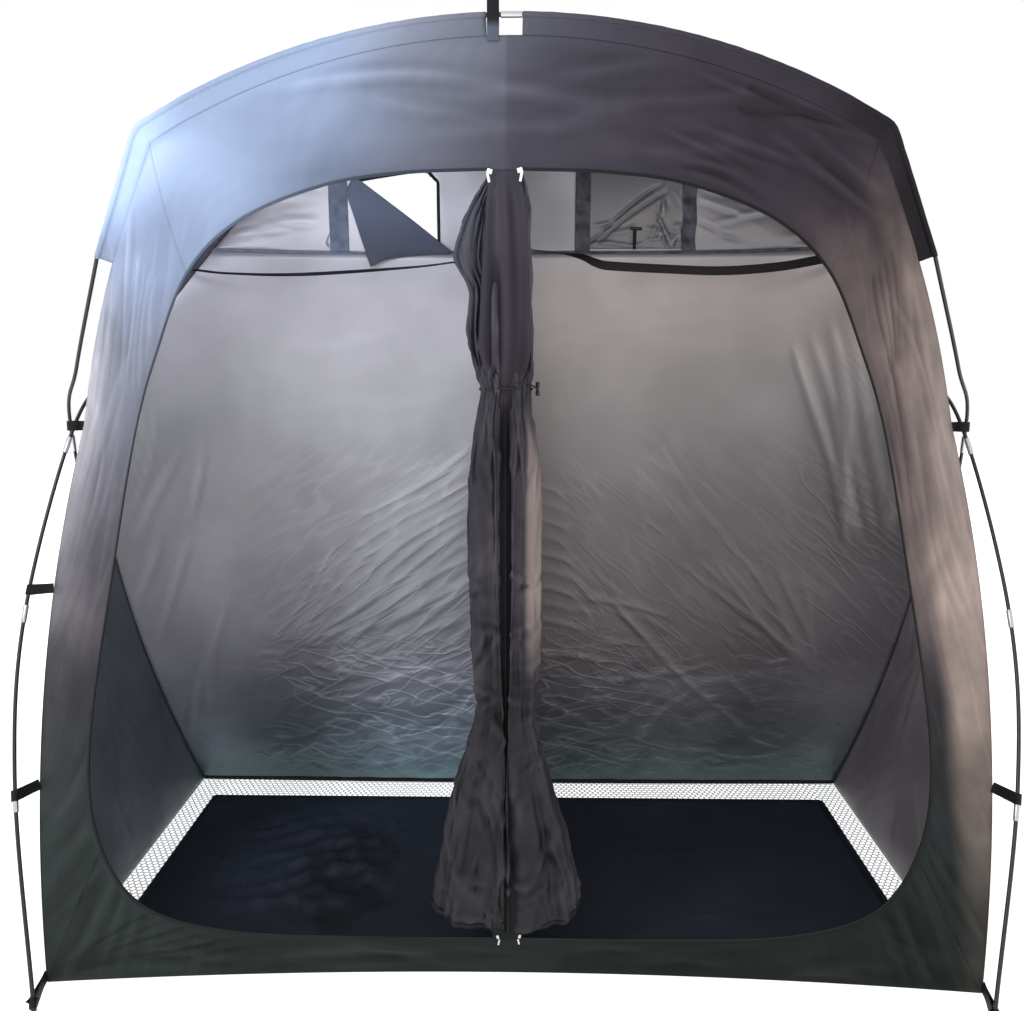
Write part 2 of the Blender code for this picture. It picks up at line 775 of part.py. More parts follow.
def add_floor(floor_material, mesh_material):
    gap = FABRIC / 2 + CLOTH_GAP
    inner = BASE_HALF_WIDTH - MESH_SIDE_WIDTH
    rear = BASE_HALF_DEPTH - REAR_HEM_BOW - MESH_REAR_WIDTH
    columns = spaced(-inner, inner, 17)
    front_edge = [(x, -wall_depth_at_floor(x, FRONT, FLOOR_THICKNESS) + gap) for x in columns]
    flat_plate("floor_panel", front_edge, [(x, rear) for x in columns], floor_material)

    columns = spaced(-inner, inner, 13)
    rear_edge = [(x, wall_depth_at_floor(x, REAR, FLOOR_THICKNESS) - gap) for x in columns]
    near_edge = [(x, rear + MESH_GAP) for x in columns]
    flat_plate("rear_drain_mesh", near_edge, rear_edge, mesh_material)
    for side, side_name in ((LEFT, "left"), (RIGHT, "right")):
        outer = BASE_HALF_WIDTH - gap - MESH_GAP
        start = inner + MESH_GAP
        columns = [side * start, side * (start + (outer - inner) / 2), side * (outer - MESH_CORNER)]
        end_gap = gap + MESH_END_GAP
        near = [(x, end_gap - wall_depth_at_floor(x, FRONT, FLOOR_THICKNESS)) for x in columns]
        far = [(x, wall_depth_at_floor(x, REAR, FLOOR_THICKNESS) - end_gap) for x in columns]
        near.append((side * outer, near[-1][1]))
        far.append((side * outer, far[-1][1]))
        flat_plate(f"{side_name}_drain_mesh", near, far, mesh_material)


def bundle_at(height):
    for low, high in zip(DOOR_BUNDLE, DOOR_BUNDLE[1:]):
        if low[0] <= height <= high[0]:
            part = (height - low[0]) / (high[0] - low[0])
            return [a + (b - a) * part for a, b in zip(low, high)]
    raise ValueError("height outside the door bundle")


def half_bundle_section(height, left, right, depth, side):
    """One door's cross section: rounded, flat towards the centre strip and the curtain."""
    near = wall_at(STRIP_MIDDLE, height, FRONT).y + FABRIC / 2 + 0.0005
    inner = STRIP_MIDDLE + side * (FABRIC / 2 + 0.0005)
    outer = left if side == LEFT else right
    width = outer - inner
    outline = [(0.0, 0.0), (0.55, 0.0), (0.85, 0.10), (1.0, 0.42), (0.95, 0.78), (0.70, 0.97),
               (0.35, 1.0), (0.0, 0.86)]
    return [Vector((inner + width * x, near + depth * y, height)) for x, y in outline]


def add_doors(material):
    for side, name in ((LEFT, "left_door"), (RIGHT, "right_door")):
        sections = []
        for height, left, right, depth in DOOR_BUNDLE:
            sections.append(half_bundle_section(height, left, right, depth, side))
        add_loft(name, sections, material, smooth_angle=60)


def add_door_tie(strap_material, toggle_material):
    _, left, right, depth = bundle_at(TIE_HEIGHT)
    front = wall_at(STRIP_MIDDLE, TIE_HEIGHT, FRONT).y - FABRIC / 2
    middle = Vector(((left + right) / 2, front + depth / 2, TIE_HEIGHT))
    half_width = (right - left) / 2
    half_depth = depth / 2 + FABRIC / 2

    def ring_points(grow):
        points = []
        for index in range(21):
            angle = math.pi / 2 + 2 * math.pi * index / 20
            cosine, sine = math.cos(angle), math.sin(angle)
            x = math.copysign(abs(cosine) ** 0.5, cosine) * (half_width + TIE_CLEARANCE + grow)
            y = math.copysign(abs(sine) ** 0.5, sine) * (half_depth + TIE_CLEARANCE + grow)
            points.append(middle + Vector((x, y, 0)))
        points[0].x = STRIP_MIDDLE - FABRIC / 2 - TOUCH_GAP
        points[-1].x = STRIP_MIDDLE + FABRIC / 2 + TOUCH_GAP
        return points

    up = Vector((0, 0, TIE_HALF_HEIGHT))
    inner, outer = ring_points(0.0), ring_points(TIE_THICKNESS)
    sections = []
    for near, far in zip(inner, outer):
        sections.append([near - up, far - up, far + up, near + up])
    add_loft("door_tie", sections, strap_material)

    outside = half_width + TIE_CLEARANCE + TIE_THICKNESS
    centre = middle + Vector((outside + TOGGLE_GAP + TOGGLE_RADIUS, 0, 0))
    sections = []
    for height in (-TOGGLE_HALF_HEIGHT, TOGGLE_HALF_HEIGHT):
        sections.append([centre + Vector((TOGGLE_RADIUS * math.cos(math.tau * k / 12),
                                          TOGGLE_RADIUS * math.sin(math.tau * k / 12), height))
                         for k in range(12)])
    add_loft("door_tie_toggle", sections, toggle_material, smooth_angle=50)


def add_divider(material):
    gap = FABRIC / 2 + CLOTH_GAP
    low = FLOOR_THICKNESS + TOUCH_GAP
    high = RIDGE_HEIGHT - FABRIC / 2 - FOLD_GAP
    rows = []
    for z in spaced(low, high, 10):
        front = wall_at(STRIP_MIDDLE, z, FRONT).y + gap
        rear = wall_at(STRIP_MIDDLE, z, REAR).y - gap
        rows.append([Vector((STRIP_MIDDLE, y, z)) for y in spaced(front, rear, 5)])
    add_sheet("divider_curtain", rows, material)


def add_towel_straps(material):
    """A strap in each room from the curtain to the side, the left one level and the right upright."""
    curtain = FABRIC / 2 + TOUCH_GAP
    widths = {LEFT: (Vector((0, 1, 0)), WEBBING), RIGHT: (Vector((0, 0, 1)), WEBBING_WIDTH / 2)}
    for side, name, heights in ((LEFT, "left", LEFT_STRAP), (RIGHT, "right", RIGHT_STRAP)):
        first, near, far, last = heights
        across, rise = widths[side]
        reach = seam_point(last + rise)[0] - FABRIC / 2 - FOLD_GAP
        start = STRIP_MIDDLE + side * curtain
        points = [(start, first), (start + side * STRAP_LEVEL_RUN, first),
                  (side * near[0], near[1]), (side * far[0], far[1]), (side * reach, last)]
        route = [Vector((x, TOWEL_STRAP_DEPTH, z)) for x, z in points]
        add_strap(f"{name}_towel_strap", route, across, material)


def build():
    clear_scene()
    shell = make_material("charcoal_polyester", (0.045, 0.045, 0.05), 0.55)
    door = make_material("door_polyester", (0.06, 0.055, 0.065), 0.6)
    rod = make_material("black_fibreglass", (0.012, 0.012, 0.013), 0.35)
    webbing = make_material("black_webbing", (0.01, 0.01, 0.011), 0.8)
    floor = make_material("floor_sheet", (0.008, 0.009, 0.016), 0.5)
    mesh = make_material("drain_mesh", (0.55, 0.55, 0.55), 0.7)
    plastic = make_material("black_plastic", (0.01, 0.01, 0.01), 0.4)
    add_front_wall(shell)
    add_rear_wall(shell)
    add_window_band(shell)
    add_window_flaps(shell)
    add_sides(shell)
    add_roof(shell)
    add_sleeves(shell)
    add_poles(rod)
    add_cross_ties(webbing)
    add_side_straps(webbing)
    add_foot_straps(webbing)
    add_peak_ties(webbing)
    add_floor(floor, mesh)
    add_doors(door)
    add_door_tie(webbing, plastic)
    add_divider(door)
    add_towel_straps(webbing)


build()
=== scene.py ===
"""Two-room shower tent: cloth, webbing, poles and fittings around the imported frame.

Metres, +Z up, doors towards -Y, as in the frame. Run as a script, it makes the whole scene.
"""
import math
from contextlib import contextmanager
from functools import partial

import bmesh
import bpy
import numpy as np
from bpy.props import FloatProperty, FloatVectorProperty, PointerProperty
from mathutils import Matrix, Vector


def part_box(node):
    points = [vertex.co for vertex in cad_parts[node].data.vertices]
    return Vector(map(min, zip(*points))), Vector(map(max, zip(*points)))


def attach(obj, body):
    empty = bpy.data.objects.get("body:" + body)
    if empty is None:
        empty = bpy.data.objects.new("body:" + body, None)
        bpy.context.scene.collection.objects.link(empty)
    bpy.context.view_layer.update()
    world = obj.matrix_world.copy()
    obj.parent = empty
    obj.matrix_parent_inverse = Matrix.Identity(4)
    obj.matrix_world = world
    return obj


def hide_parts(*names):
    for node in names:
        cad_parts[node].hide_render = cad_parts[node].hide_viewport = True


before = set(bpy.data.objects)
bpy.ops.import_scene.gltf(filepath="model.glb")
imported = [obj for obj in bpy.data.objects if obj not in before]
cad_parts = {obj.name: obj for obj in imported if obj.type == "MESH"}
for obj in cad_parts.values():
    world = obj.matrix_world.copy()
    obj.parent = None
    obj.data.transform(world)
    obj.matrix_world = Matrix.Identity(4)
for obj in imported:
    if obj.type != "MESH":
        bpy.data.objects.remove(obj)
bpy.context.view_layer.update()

bl_info = {
    "name": "Two-room shower tent",
    "version": (1, 0, 0),
    "blender": (4, 5, 0),
    "location": "3D View > Sidebar > Shower Tent",
    "description": "Builds the cloth, webbing, poles and fittings of a two-room shower tent",
    "category": "Object",
}

# Body of the tent, as in the part's source
BASE_HALF_WIDTH = 1.055
BASE_HALF_DEPTH = 0.535
FRONT_HEM_BOW = 0.055
REAR_HEM_BOW = 0.015
CROSSING_HEIGHT = 1.23
CROSSING_HALF_WIDTH = 1.128
CROSSING_HALF_DEPTH = 0.012
SIDE_BELLY = 0.056
GABLE_BELLY = 0.022
SHOULDER_HEIGHT = 1.86
SHOULDER_HALF_WIDTH = 0.77
ROOF_HALF_DEPTH = 0.39
RIDGE_HEIGHT = 2.07
HEM_LIFT = 0.0012

# Doorways: half of each outline, as (distance from the centre strip's middle, height)
STRIP_MIDDLE = -0.013
STRIP_HALF_WIDTH = 0.031
DOOR_TOP = 1.8
DOOR_BOTTOM = 0.085
DOOR_OUTLINE = (
    (STRIP_HALF_WIDTH, DOOR_TOP), (0.22, 1.793), (0.39, 1.768), (0.575, 1.698), (0.7, 1.59),
    (0.785, 1.42), (0.85, 1.245), (0.925, 0.9), (0.975, 0.63), (0.985, 0.43), (0.945, 0.275),
    (0.84, 0.155), (0.64, 0.1), (0.33, 0.086), (STRIP_HALF_WIDTH, DOOR_BOTTOM),
)
HEADER_CORNER = 4
SILL_CORNER = 10
EDGE_STEPS = 26

# Windows
BAND_BOTTOM = 1.715
WINDOW_INNER = 0.2
WINDOW_OUTER = 0.535
WINDOW_BOTTOM = 1.732
WINDOW_TOP = 1.945
WINDOW_TOP_PART = 0.72
BORDER_TO_SIDE = 0.66
BORDER_LEVEL = 1.8

# Poles
ROD_RADIUS = 0.00475
FERRULE_RADIUS = 0.0065
FERRULE_LENGTH = 0.044
FERRULE_PITCH = 0.45
POLE_PEAK = 2.11
ELBOW = (0.8, 0.39, 1.89)
ELBOW_RADIUS = 0.06
SLEEVE_END = (0.955, 0.262, 1.635)
LEG_ROUTE = ((1.088, 0.112, 1.385), (1.165, 0.0, 1.23), (1.208, -0.22, 0.795), (1.163, -0.41, 0.436))
FOOT = (1.035, -0.635, 0.0)
CROSSING_SPREAD = ROD_RADIUS + 0.0003
POLE_JOINT_GAP = 0.0009
ARCH_STATIONS = (0.15, 0.27, 0.39, 0.5, 0.61, 0.7)

# Sleeves, straps and ties
PEAK_NOTCH = {-1: 0.053, 1: 0.023}
SLEEVE_DROP = 0.235
WEBBING_WIDTH = 0.025
WEBBING = 0.0016
STRAP_CLEARANCE = 0.0004
LOOP_SLACK = 0.0006
STRAP_ROOT = 0.0056
FOOT_STRAP_ROOT = 0.0078
FOOT_STRAP_WIDTH = 0.022
FOOT_STRAP_HEIGHT = 0.0165
UPPER_STRAP_HEIGHT = 0.835
LOWER_STRAP_HEIGHT = 0.4
FRONT_RIGHT_STRAP_HEIGHT = 0.41
TIE_HEIGHT = 1.34
PEAK_TIE_MIDDLE = -0.0385
PEAK_TIE_RISE = 0.022
TOWEL_STRAP_DEPTH = 0.23

# Floor
MESH_SIDE_WIDTH = 0.08
MESH_REAR_WIDTH = 0.12

# Gathered doors: height, left edge, right edge, depth behind the front wall
DOOR_BUNDLE = (
    (0.06, -0.192, 0.17, 0.105), (0.13, -0.19, 0.168, 0.105), (0.228, -0.175, 0.152, 0.1),
    (0.276, -0.164, 0.139, 0.095), (0.347, -0.152, 0.122, 0.085), (0.418, -0.138, 0.101, 0.08),
    (0.465, -0.126, 0.089, 0.074), (0.547, -0.1, 0.066, 0.062), (0.628, -0.078, 0.052, 0.056),
    (0.674, -0.084, 0.061, 0.058), (0.878, -0.095, 0.069, 0.062), (1.1, -0.097, 0.067, 0.062),
    (1.188, -0.09, 0.062, 0.06), (1.253, -0.081, 0.05, 0.054), (1.296, -0.074, 0.043, 0.05),
    (1.343, -0.066, 0.042, 0.044), (1.371, -0.078, 0.047, 0.048), (1.466, -0.096, 0.045, 0.056),
    (1.55, -0.091, 0.043, 0.054), (1.59, -0.112, 0.043, 0.052), (1.62, -0.124, 0.04, 0.05),
    (1.652, -0.119, 0.038, 0.05), (1.7, -0.102, 0.038, 0.044), (1.736, -0.084, 0.038, 0.036),
    (1.793, -0.048, 0.022, 0.022),
)

# Strip between the doors: height, and how far its left and right edges stand from its middle
STRIP_EDGES = (
    (0.085, 0.031, 0.031), (0.25, 0.031, 0.031), (0.45, 0.022, 0.022), (1.22, 0.022, 0.022),
    (1.34, 0.03, 0.036), (1.4, 0.05, 0.052), (1.44, 0.058, 0.055), (1.6, 0.05, 0.05),
    (1.7, 0.043, 0.045), (1.76, 0.038, 0.038), (1.8, 0.031, 0.031),
)

# Daylight in the front cloth: where its haze is bluest as (x, z), its strength across the header and
# its share at each height
HAZE_CENTRE = (-0.85, 1.83)
HAZE_ACROSS = ((-0.5, 0.47), (-0.42, 0.4), (-0.34, 0.26), (-0.26, 0.18), (-0.17, 0.13), (-0.07, 0.092),
    (0.0, 0.068), (0.1, 0.042), (0.3, 0.018), (0.5, 0.01), (0.8, 0.0))
HAZE_UP = ((0.4, 0.0), (0.6, 0.017), (0.79, 0.043), (0.93, 0.085), (1.07, 0.15), (1.19, 0.25), (1.31, 0.31),
    (1.43, 0.43), (1.53, 0.58), (1.62, 0.82), (1.75, 0.98), (1.8, 1.06))

# Height of a crease that counts as full
CREST = 0.004

# Light through a single layer beside the side seams: height and strength
LEFT_BAND = ((0.1, 0.004), (0.7, 0.015), (0.83, 0.065), (0.97, 0.13), (1.07, 0.16), (1.19, 0.28),
    (1.31, 0.36), (1.42, 0.24), (1.53, 0.17), (1.61, 0.08), (1.72, 0.0))
RIGHT_BAND = ((0.1, 0.03), (0.27, 0.07), (0.43, 0.15), (0.61, 0.25), (0.7, 0.24), (0.8, 0.2), (0.94, 0.16),
    (1.08, 0.08), (1.2, 0.07), (1.31, 0.07), (1.42, 0.08), (1.53, 0.075), (1.6, 0.075), (1.7, 0.05),
    (1.77, 0.03), (1.84, 0.0))
# Width of the right band: height and distance from the seam
RIGHT_REACH = ((0.1, 0.045), (0.27, 0.08), (0.43, 0.105), (0.61, 0.125), (0.7, 0.145), (0.8, 0.165),
    (0.94, 0.185), (1.08, 0.15), (1.2, 0.155), (1.31, 0.1), (1.42, 0.08), (1.6, 0.08))

# How much light is painted on the lining of each room: height and strength
LEFT_PAINTED_LIGHT = ((0.0, 1.0), (0.48, 0.94), (0.64, 0.85), (0.81, 0.79), (0.97, 0.76), (1.12, 0.86), (1.27, 1.0),
    (1.43, 1.0), (1.57, 0.92), (1.66, 0.74), (1.72, 0.83), (1.8, 1.06), (1.86, 1.42), (1.95, 1.65))
RIGHT_PAINTED_LIGHT = ((0.0, 1.05), (0.32, 1.05), (0.48, 0.86), (0.64, 0.72), (0.81, 0.62), (0.97, 0.58),
    (1.25, 0.78), (1.45, 0.96), (1.6, 1.05), (1.66, 1.12), (1.71, 1.1), (1.74, 0.95), (1.86, 1.15),
    (1.95, 1.3))
# The same from the left seam to the divider
PAINTED_LIGHT_ACROSS = ((-1.1, 1.3), (-0.95, 1.16), (-0.86, 0.99), (-0.75, 0.88), (-0.65, 0.89), (-0.52, 1.02),
    (-0.4, 1.09), (-0.16, 1.1))

FRONT, REAR = -1, 1
LEFT, RIGHT = -1, 1
SIDES = ((LEFT, "left"), (RIGHT, "right"))
ENDS = ((FRONT, "front"), (REAR, "rear"))
CORNERS = [(*end, *side) for end in ENDS for side in SIDES]

# The camera stands where the photo's perspective puts it
CAMERA_PLACE = (0.04, -2.506, 1.41)
CAMERA_TURN = (81.16, 0.0, 1.06)
CAMERA_LENS = 33.68

WHITE = (1.0, 1.0, 1.0)


def colour(hex_code):
    """Linear colour of an sRGB hex code."""
    values = [int(hex_code[index:index + 2], 16) / 255 for index in (1, 3, 5)]
    return tuple(v / 12.92 if v <= 0.04045 else ((v + 0.055) / 1.055) ** 2.4 for v in values)


def smoothstep(value):
    value = np.clip(value, 0.0, 1.0)
    return value * value * (3 - 2 * value)


def fade(value, start, end):
    """0 at start and before it, 1 at end and past it."""
    return smoothstep((np.asarray(value, float) - start) / (end - start))


def unit(vectors):
    return vectors / np.maximum(np.linalg.norm(vectors, axis=-1, keepdims=True), 1e-9)


def curve_through(points, steps):
    """Points on a Catmull-Rom curve, with the given steps between each two of its own points."""
    points = np.asarray(points, float)
    padded = np.vstack([2 * points[0] - points[1], points, 2 * points[-1] - points[-2]])
    t = (np.arange(steps) / steps)[:, None]
    parts = []
    for a, b, c, d in zip(padded, padded[1:], padded[2:], padded[3:]):
        parts.append(0.5 * (2 * b + (c - a) * t + (2 * a - 5 * b + 4 * c - d) * t ** 2
            + (3 * b - a - 3 * c + d) * t ** 3))
    return np.vstack(parts + [points[-1:]])


def stacked(*parts):
    """Arrays side by side as the coordinates of points."""
    return np.stack(np.broadcast_arrays(*parts), axis=-1)


def travelled(points):
    """Distance along a route up to each of its points."""
    steps = np.linalg.norm(np.diff(points, axis=0), axis=-1)
    return np.concatenate([[0.0], np.cumsum(steps)])


def respaced(points, count):
    """The same route with points at even distances."""
    lengths = travelled(points)
    wanted = np.linspace(0.0, lengths[-1], count)
    return np.stack([np.interp(wanted, lengths, points[:, axis]) for axis in range(3)], axis=1)


def tangents(route):
    return unit(np.gradient(route, axis=0))


def arch_height(x, half_width, foot, peak):
    rise = peak - foot
    radius = (half_width ** 2 + rise ** 2) / (2 * rise)
    return peak - radius + np.sqrt(radius ** 2 - np.square(x))


def roof_height(x):
    return arch_height(x, SHOULDER_HALF_WIDTH, SHOULDER_HEIGHT, RIDGE_HEIGHT)


def seam_point(height):
    """Half width and half depth of the side seam at heights up to the shoulder."""
    height = np.asarray(height, float)
    low = height / CROSSING_HEIGHT
    belly = SIDE_BELLY * (1 - (2 * low - 1) ** 2)
    low_width = BASE_HALF_WIDTH + (CROSSING_HALF_WIDTH - BASE_HALF_WIDTH) * low + belly
    low_depth = BASE_HALF_DEPTH + (CROSSING_HALF_DEPTH - BASE_HALF_DEPTH) * low
    high = (height - CROSSING_HEIGHT) / (SHOULDER_HEIGHT - CROSSING_HEIGHT)
    belly = GABLE_BELLY * np.sin(np.pi * high)
    high_width = CROSSING_HALF_WIDTH + (SHOULDER_HALF_WIDTH - CROSSING_HALF_WIDTH) * high + belly
    high_depth = CROSSING_HALF_DEPTH + (ROOF_HALF_DEPTH - CROSSING_HALF_DEPTH) * high
    below = height <= CROSSING_HEIGHT
    return np.where(below, low_width, high_width), np.where(below, low_depth, high_depth)


def wall_point(u, v, side):
    """Points of the front or rear wall: u runs from side seam to side seam, v from hem to ridge."""
    u, v = np.broadcast_arrays(np.asarray(u, float), np.asarray(v, float))
    seam_height = v * SHOULDER_HEIGHT
    half_width, seam_depth = seam_point(seam_height)
    bow = FRONT_HEM_BOW if side == FRONT else REAR_HEM_BOW
    middle_depth = BASE_HALF_DEPTH - bow
    middle_depth = middle_depth + (ROOF_HALF_DEPTH - middle_depth) * v
    wrap = 2 + 3 * smoothstep(seam_height / CROSSING_HEIGHT)
    depth = middle_depth + (seam_depth - middle_depth) * np.abs(u) ** wrap
    height = v * roof_height(np.abs(u) * SHOULDER_HALF_WIDTH)
    return stacked(u * half_width, side * depth, np.maximum(height, HEM_LIFT))


def wall_place(x, z):
    """The wall's own u and v at distances from its middle and heights."""
    x, z = np.broadcast_arrays(np.asarray(x, float), np.asarray(z, float))
    v = z / RIDGE_HEIGHT
    for _ in range(20):
        u = x / seam_point(v * SHOULDER_HEIGHT)[0]
        v = np.minimum(1.0, z / roof_height(np.minimum(1.0, np.abs(u)) * SHOULDER_HALF_WIDTH))
    return u, v


def wall_at(x, z, side):
    return wall_point(*wall_place(x, z), side)


def wall_normal(u, v, side):
    """Directions square to the wall, towards the outside."""
    step = 0.002
    v = np.clip(v, step, 1 - step)
    along = wall_point(u + step, v, side) - wall_point(u - step, v, side)
    up = wall_point(u, v + step, side) - wall_point(u, v - step, side)
    return unit(np.cross(along, up)) * -side


def creases(x, z, seed, families):
    """Heights of long tapered creases. Each family is a number of them and the ranges of their
    middle's x and z, their angle in degrees, their length, half width and height."""
    random = np.random.default_rng(seed)
    total = np.zeros_like(x)
    for count, *spans in families:
        for _ in range(count):
            middle_x, middle_z, angle, length, width, height = (random.uniform(*s) for s in spans)
            bend = random.uniform(-0.35, 0.35) / length
            angle = math.radians(angle)
            from_x, from_z = x - middle_x, z - middle_z
            near = (np.abs(from_x) < length * 0.6) & (np.abs(from_z) < length * 0.6)
            along = from_x[near] * math.cos(angle) + from_z[near] * math.sin(angle)
            across = from_z[near] * math.cos(angle) - from_x[near] * math.sin(angle)
            across = across + bend * along ** 2
            taper = np.clip(1 - (2 * along / length) ** 2, 0, 1)
            ridge = (1 + (across / width) ** 2) ** -1.6
            valley = 0.45 * (1 + ((np.abs(across) - 2.2 * width) / width) ** 2) ** -1.6
            total[near] += height * taper * (ridge - valley)
    return total


def straight_folds(x, z, folds):
    """Heights of single folds, each given by its two ends, its half width and its height."""
    total = np.zeros_like(x)
    for (ax, az), (bx, bz), width, height in folds:
        length = math.hypot(bx - ax, bz - az)
        along = ((x - ax) * (bx - ax) + (z - az) * (bz - az)) / length ** 2
        across = ((z - az) * (bx - ax) - (x - ax) * (bz - az)) / length
        across = across + 0.02 * length * np.sin(along * 5.0 + ax * 40.0)
        taper = fade(along, 0.0, 0.12) * fade(along, 1.0, 0.85)
        total = total + height * taper * (1 + (across / width) ** 2) ** -1.8
    return total


def fan_of_folds(fans):
    """Single folds spread between two lines, every other one lower."""
    folds = []
    for starts, ends, count, width, height in fans:
        starts, ends = np.array(starts), np.array(ends)
        for index, part in enumerate(np.linspace(0.0, 1.0, count)):
            start = starts[0] + (starts[1] - starts[0]) * part
            end = ends[0] + (ends[1] - ends[0]) * part
            folds.append((start, end, width, height * (0.62 if index % 2 else 1.0)))
    return folds


def undulation(x, z, seed, size):
    """Broad soft waves, about -1 to 1."""
    random = np.random.default_rng(seed)
    total = np.zeros_like(x)
    for _ in range(6):
        angle, phase = random.uniform(0, 2 * np.pi, 2)
        pitch = size * random.uniform(0.7, 1.5)
        run = x * np.cos(angle) + z * np.sin(angle)
        total += np.sin(2 * np.pi * run / pitch + phase)
    return total / 3.5


def crumple(x, z, seed, size, stretch=1.0):
    """Creased facets like those of crushed coated cloth, about -1 to 1."""
    random = np.random.default_rng(seed)
    total = np.zeros_like(x)
    for _ in range(8):
        angle, phase, drift, patch = random.uniform(0, 2 * np.pi, 4)
        pitch = size * random.uniform(0.6, 1.7)
        run = x * np.cos(angle) / stretch + z * np.sin(angle)
        other = z * np.cos(angle) - x * np.sin(angle) / stretch
        bent = run + 0.3 * pitch * np.sin(other / (pitch * 0.9) + drift)
        wave = bent / pitch + phase
        fold = 1 - 2 * np.abs(2 * (wave - np.floor(wave + 0.5)))
        there = 0.5 + 0.5 * np.sin(other / (pitch * 1.4) + 1.7 * np.sin(run / (pitch * 1.9)) + patch)
        total += fold * there
    return total / 4


@contextmanager
def edited(mesh):
    """A mesh opened for editing and written back."""
    bm = bmesh.new()
    bm.from_mesh(mesh)
    yield bm
    bm.to_mesh(mesh)
    bm.free()


def new_object(name, data):
    piece = bpy.data.objects.new(name, data)
    bpy.context.scene.collection.objects.link(piece)
    return piece


def bevel(piece, width, segments, angle):
    """Rounds the edges that turn by more than an angle in degrees, and shades the piece smooth."""
    rounding = piece.modifiers.new("rounding", "BEVEL")
    rounding.width = width
    rounding.segments = segments
    rounding.angle_limit = math.radians(angle)
    bpy.ops.object.modifier_apply(modifier=rounding.name)
    bpy.ops.object.shade_smooth_by_angle(angle=math.radians(40))


def select_only(piece):
    bpy.ops.object.select_all(action="DESELECT")
    piece.select_set(True)
    bpy.context.view_layer.objects.active = piece


def mesh_piece(name, points, faces, materials, uv=None, indices=None):
    """A mesh object. uv gives each point's place on the cloth in metres."""
    mesh = bpy.data.meshes.new(name)
    points = np.asarray(points, float).reshape(-1, 3)
    mesh.from_pydata(points.tolist(), [], [tuple(face) for face in faces])
    for material in materials:
        mesh.materials.append(material)
    if indices is not None:
        mesh.polygons.foreach_set("material_index", indices)
    if uv is not None:
        layer = mesh.uv_layers.new(name="cloth")
        loops = np.empty(len(mesh.loops), dtype=np.int64)
        mesh.loops.foreach_get("vertex_index", loops)
        layer.data.foreach_set("uv", np.asarray(uv, float).reshape(-1, 2)[loops].ravel())
    mesh.shade_smooth()
    mesh.update()
    return new_object(name, mesh)


def select_faces(piece, wanted):
    """Selects a mesh's faces for edit mode by a test of each face, and nothing else."""
    bpy.ops.object.mode_set(mode="EDIT")
    bpy.ops.mesh.select_mode(type="FACE")
    bpy.ops.mesh.select_all(action="DESELECT")
    bpy.ops.object.mode_set(mode="OBJECT")
    for face in piece.data.polygons:
        face.select = bool(wanted(face))
    bpy.ops.object.mode_set(mode="EDIT")


def settle(piece, nodes=()):
    """The piece rides on the tent and stands for the solids it replaces."""
    if nodes:
        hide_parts(*nodes)
    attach(piece, "root")
    return piece


def settle_sheet(piece, sheet, node=None):
    settle(piece, [node or sheet])


def level_of(table, z, column=1):
    """A value from a table of heights, read at the given heights."""
    rows = np.array(table)
    return np.interp(z, rows[:, 0], rows[:, column])


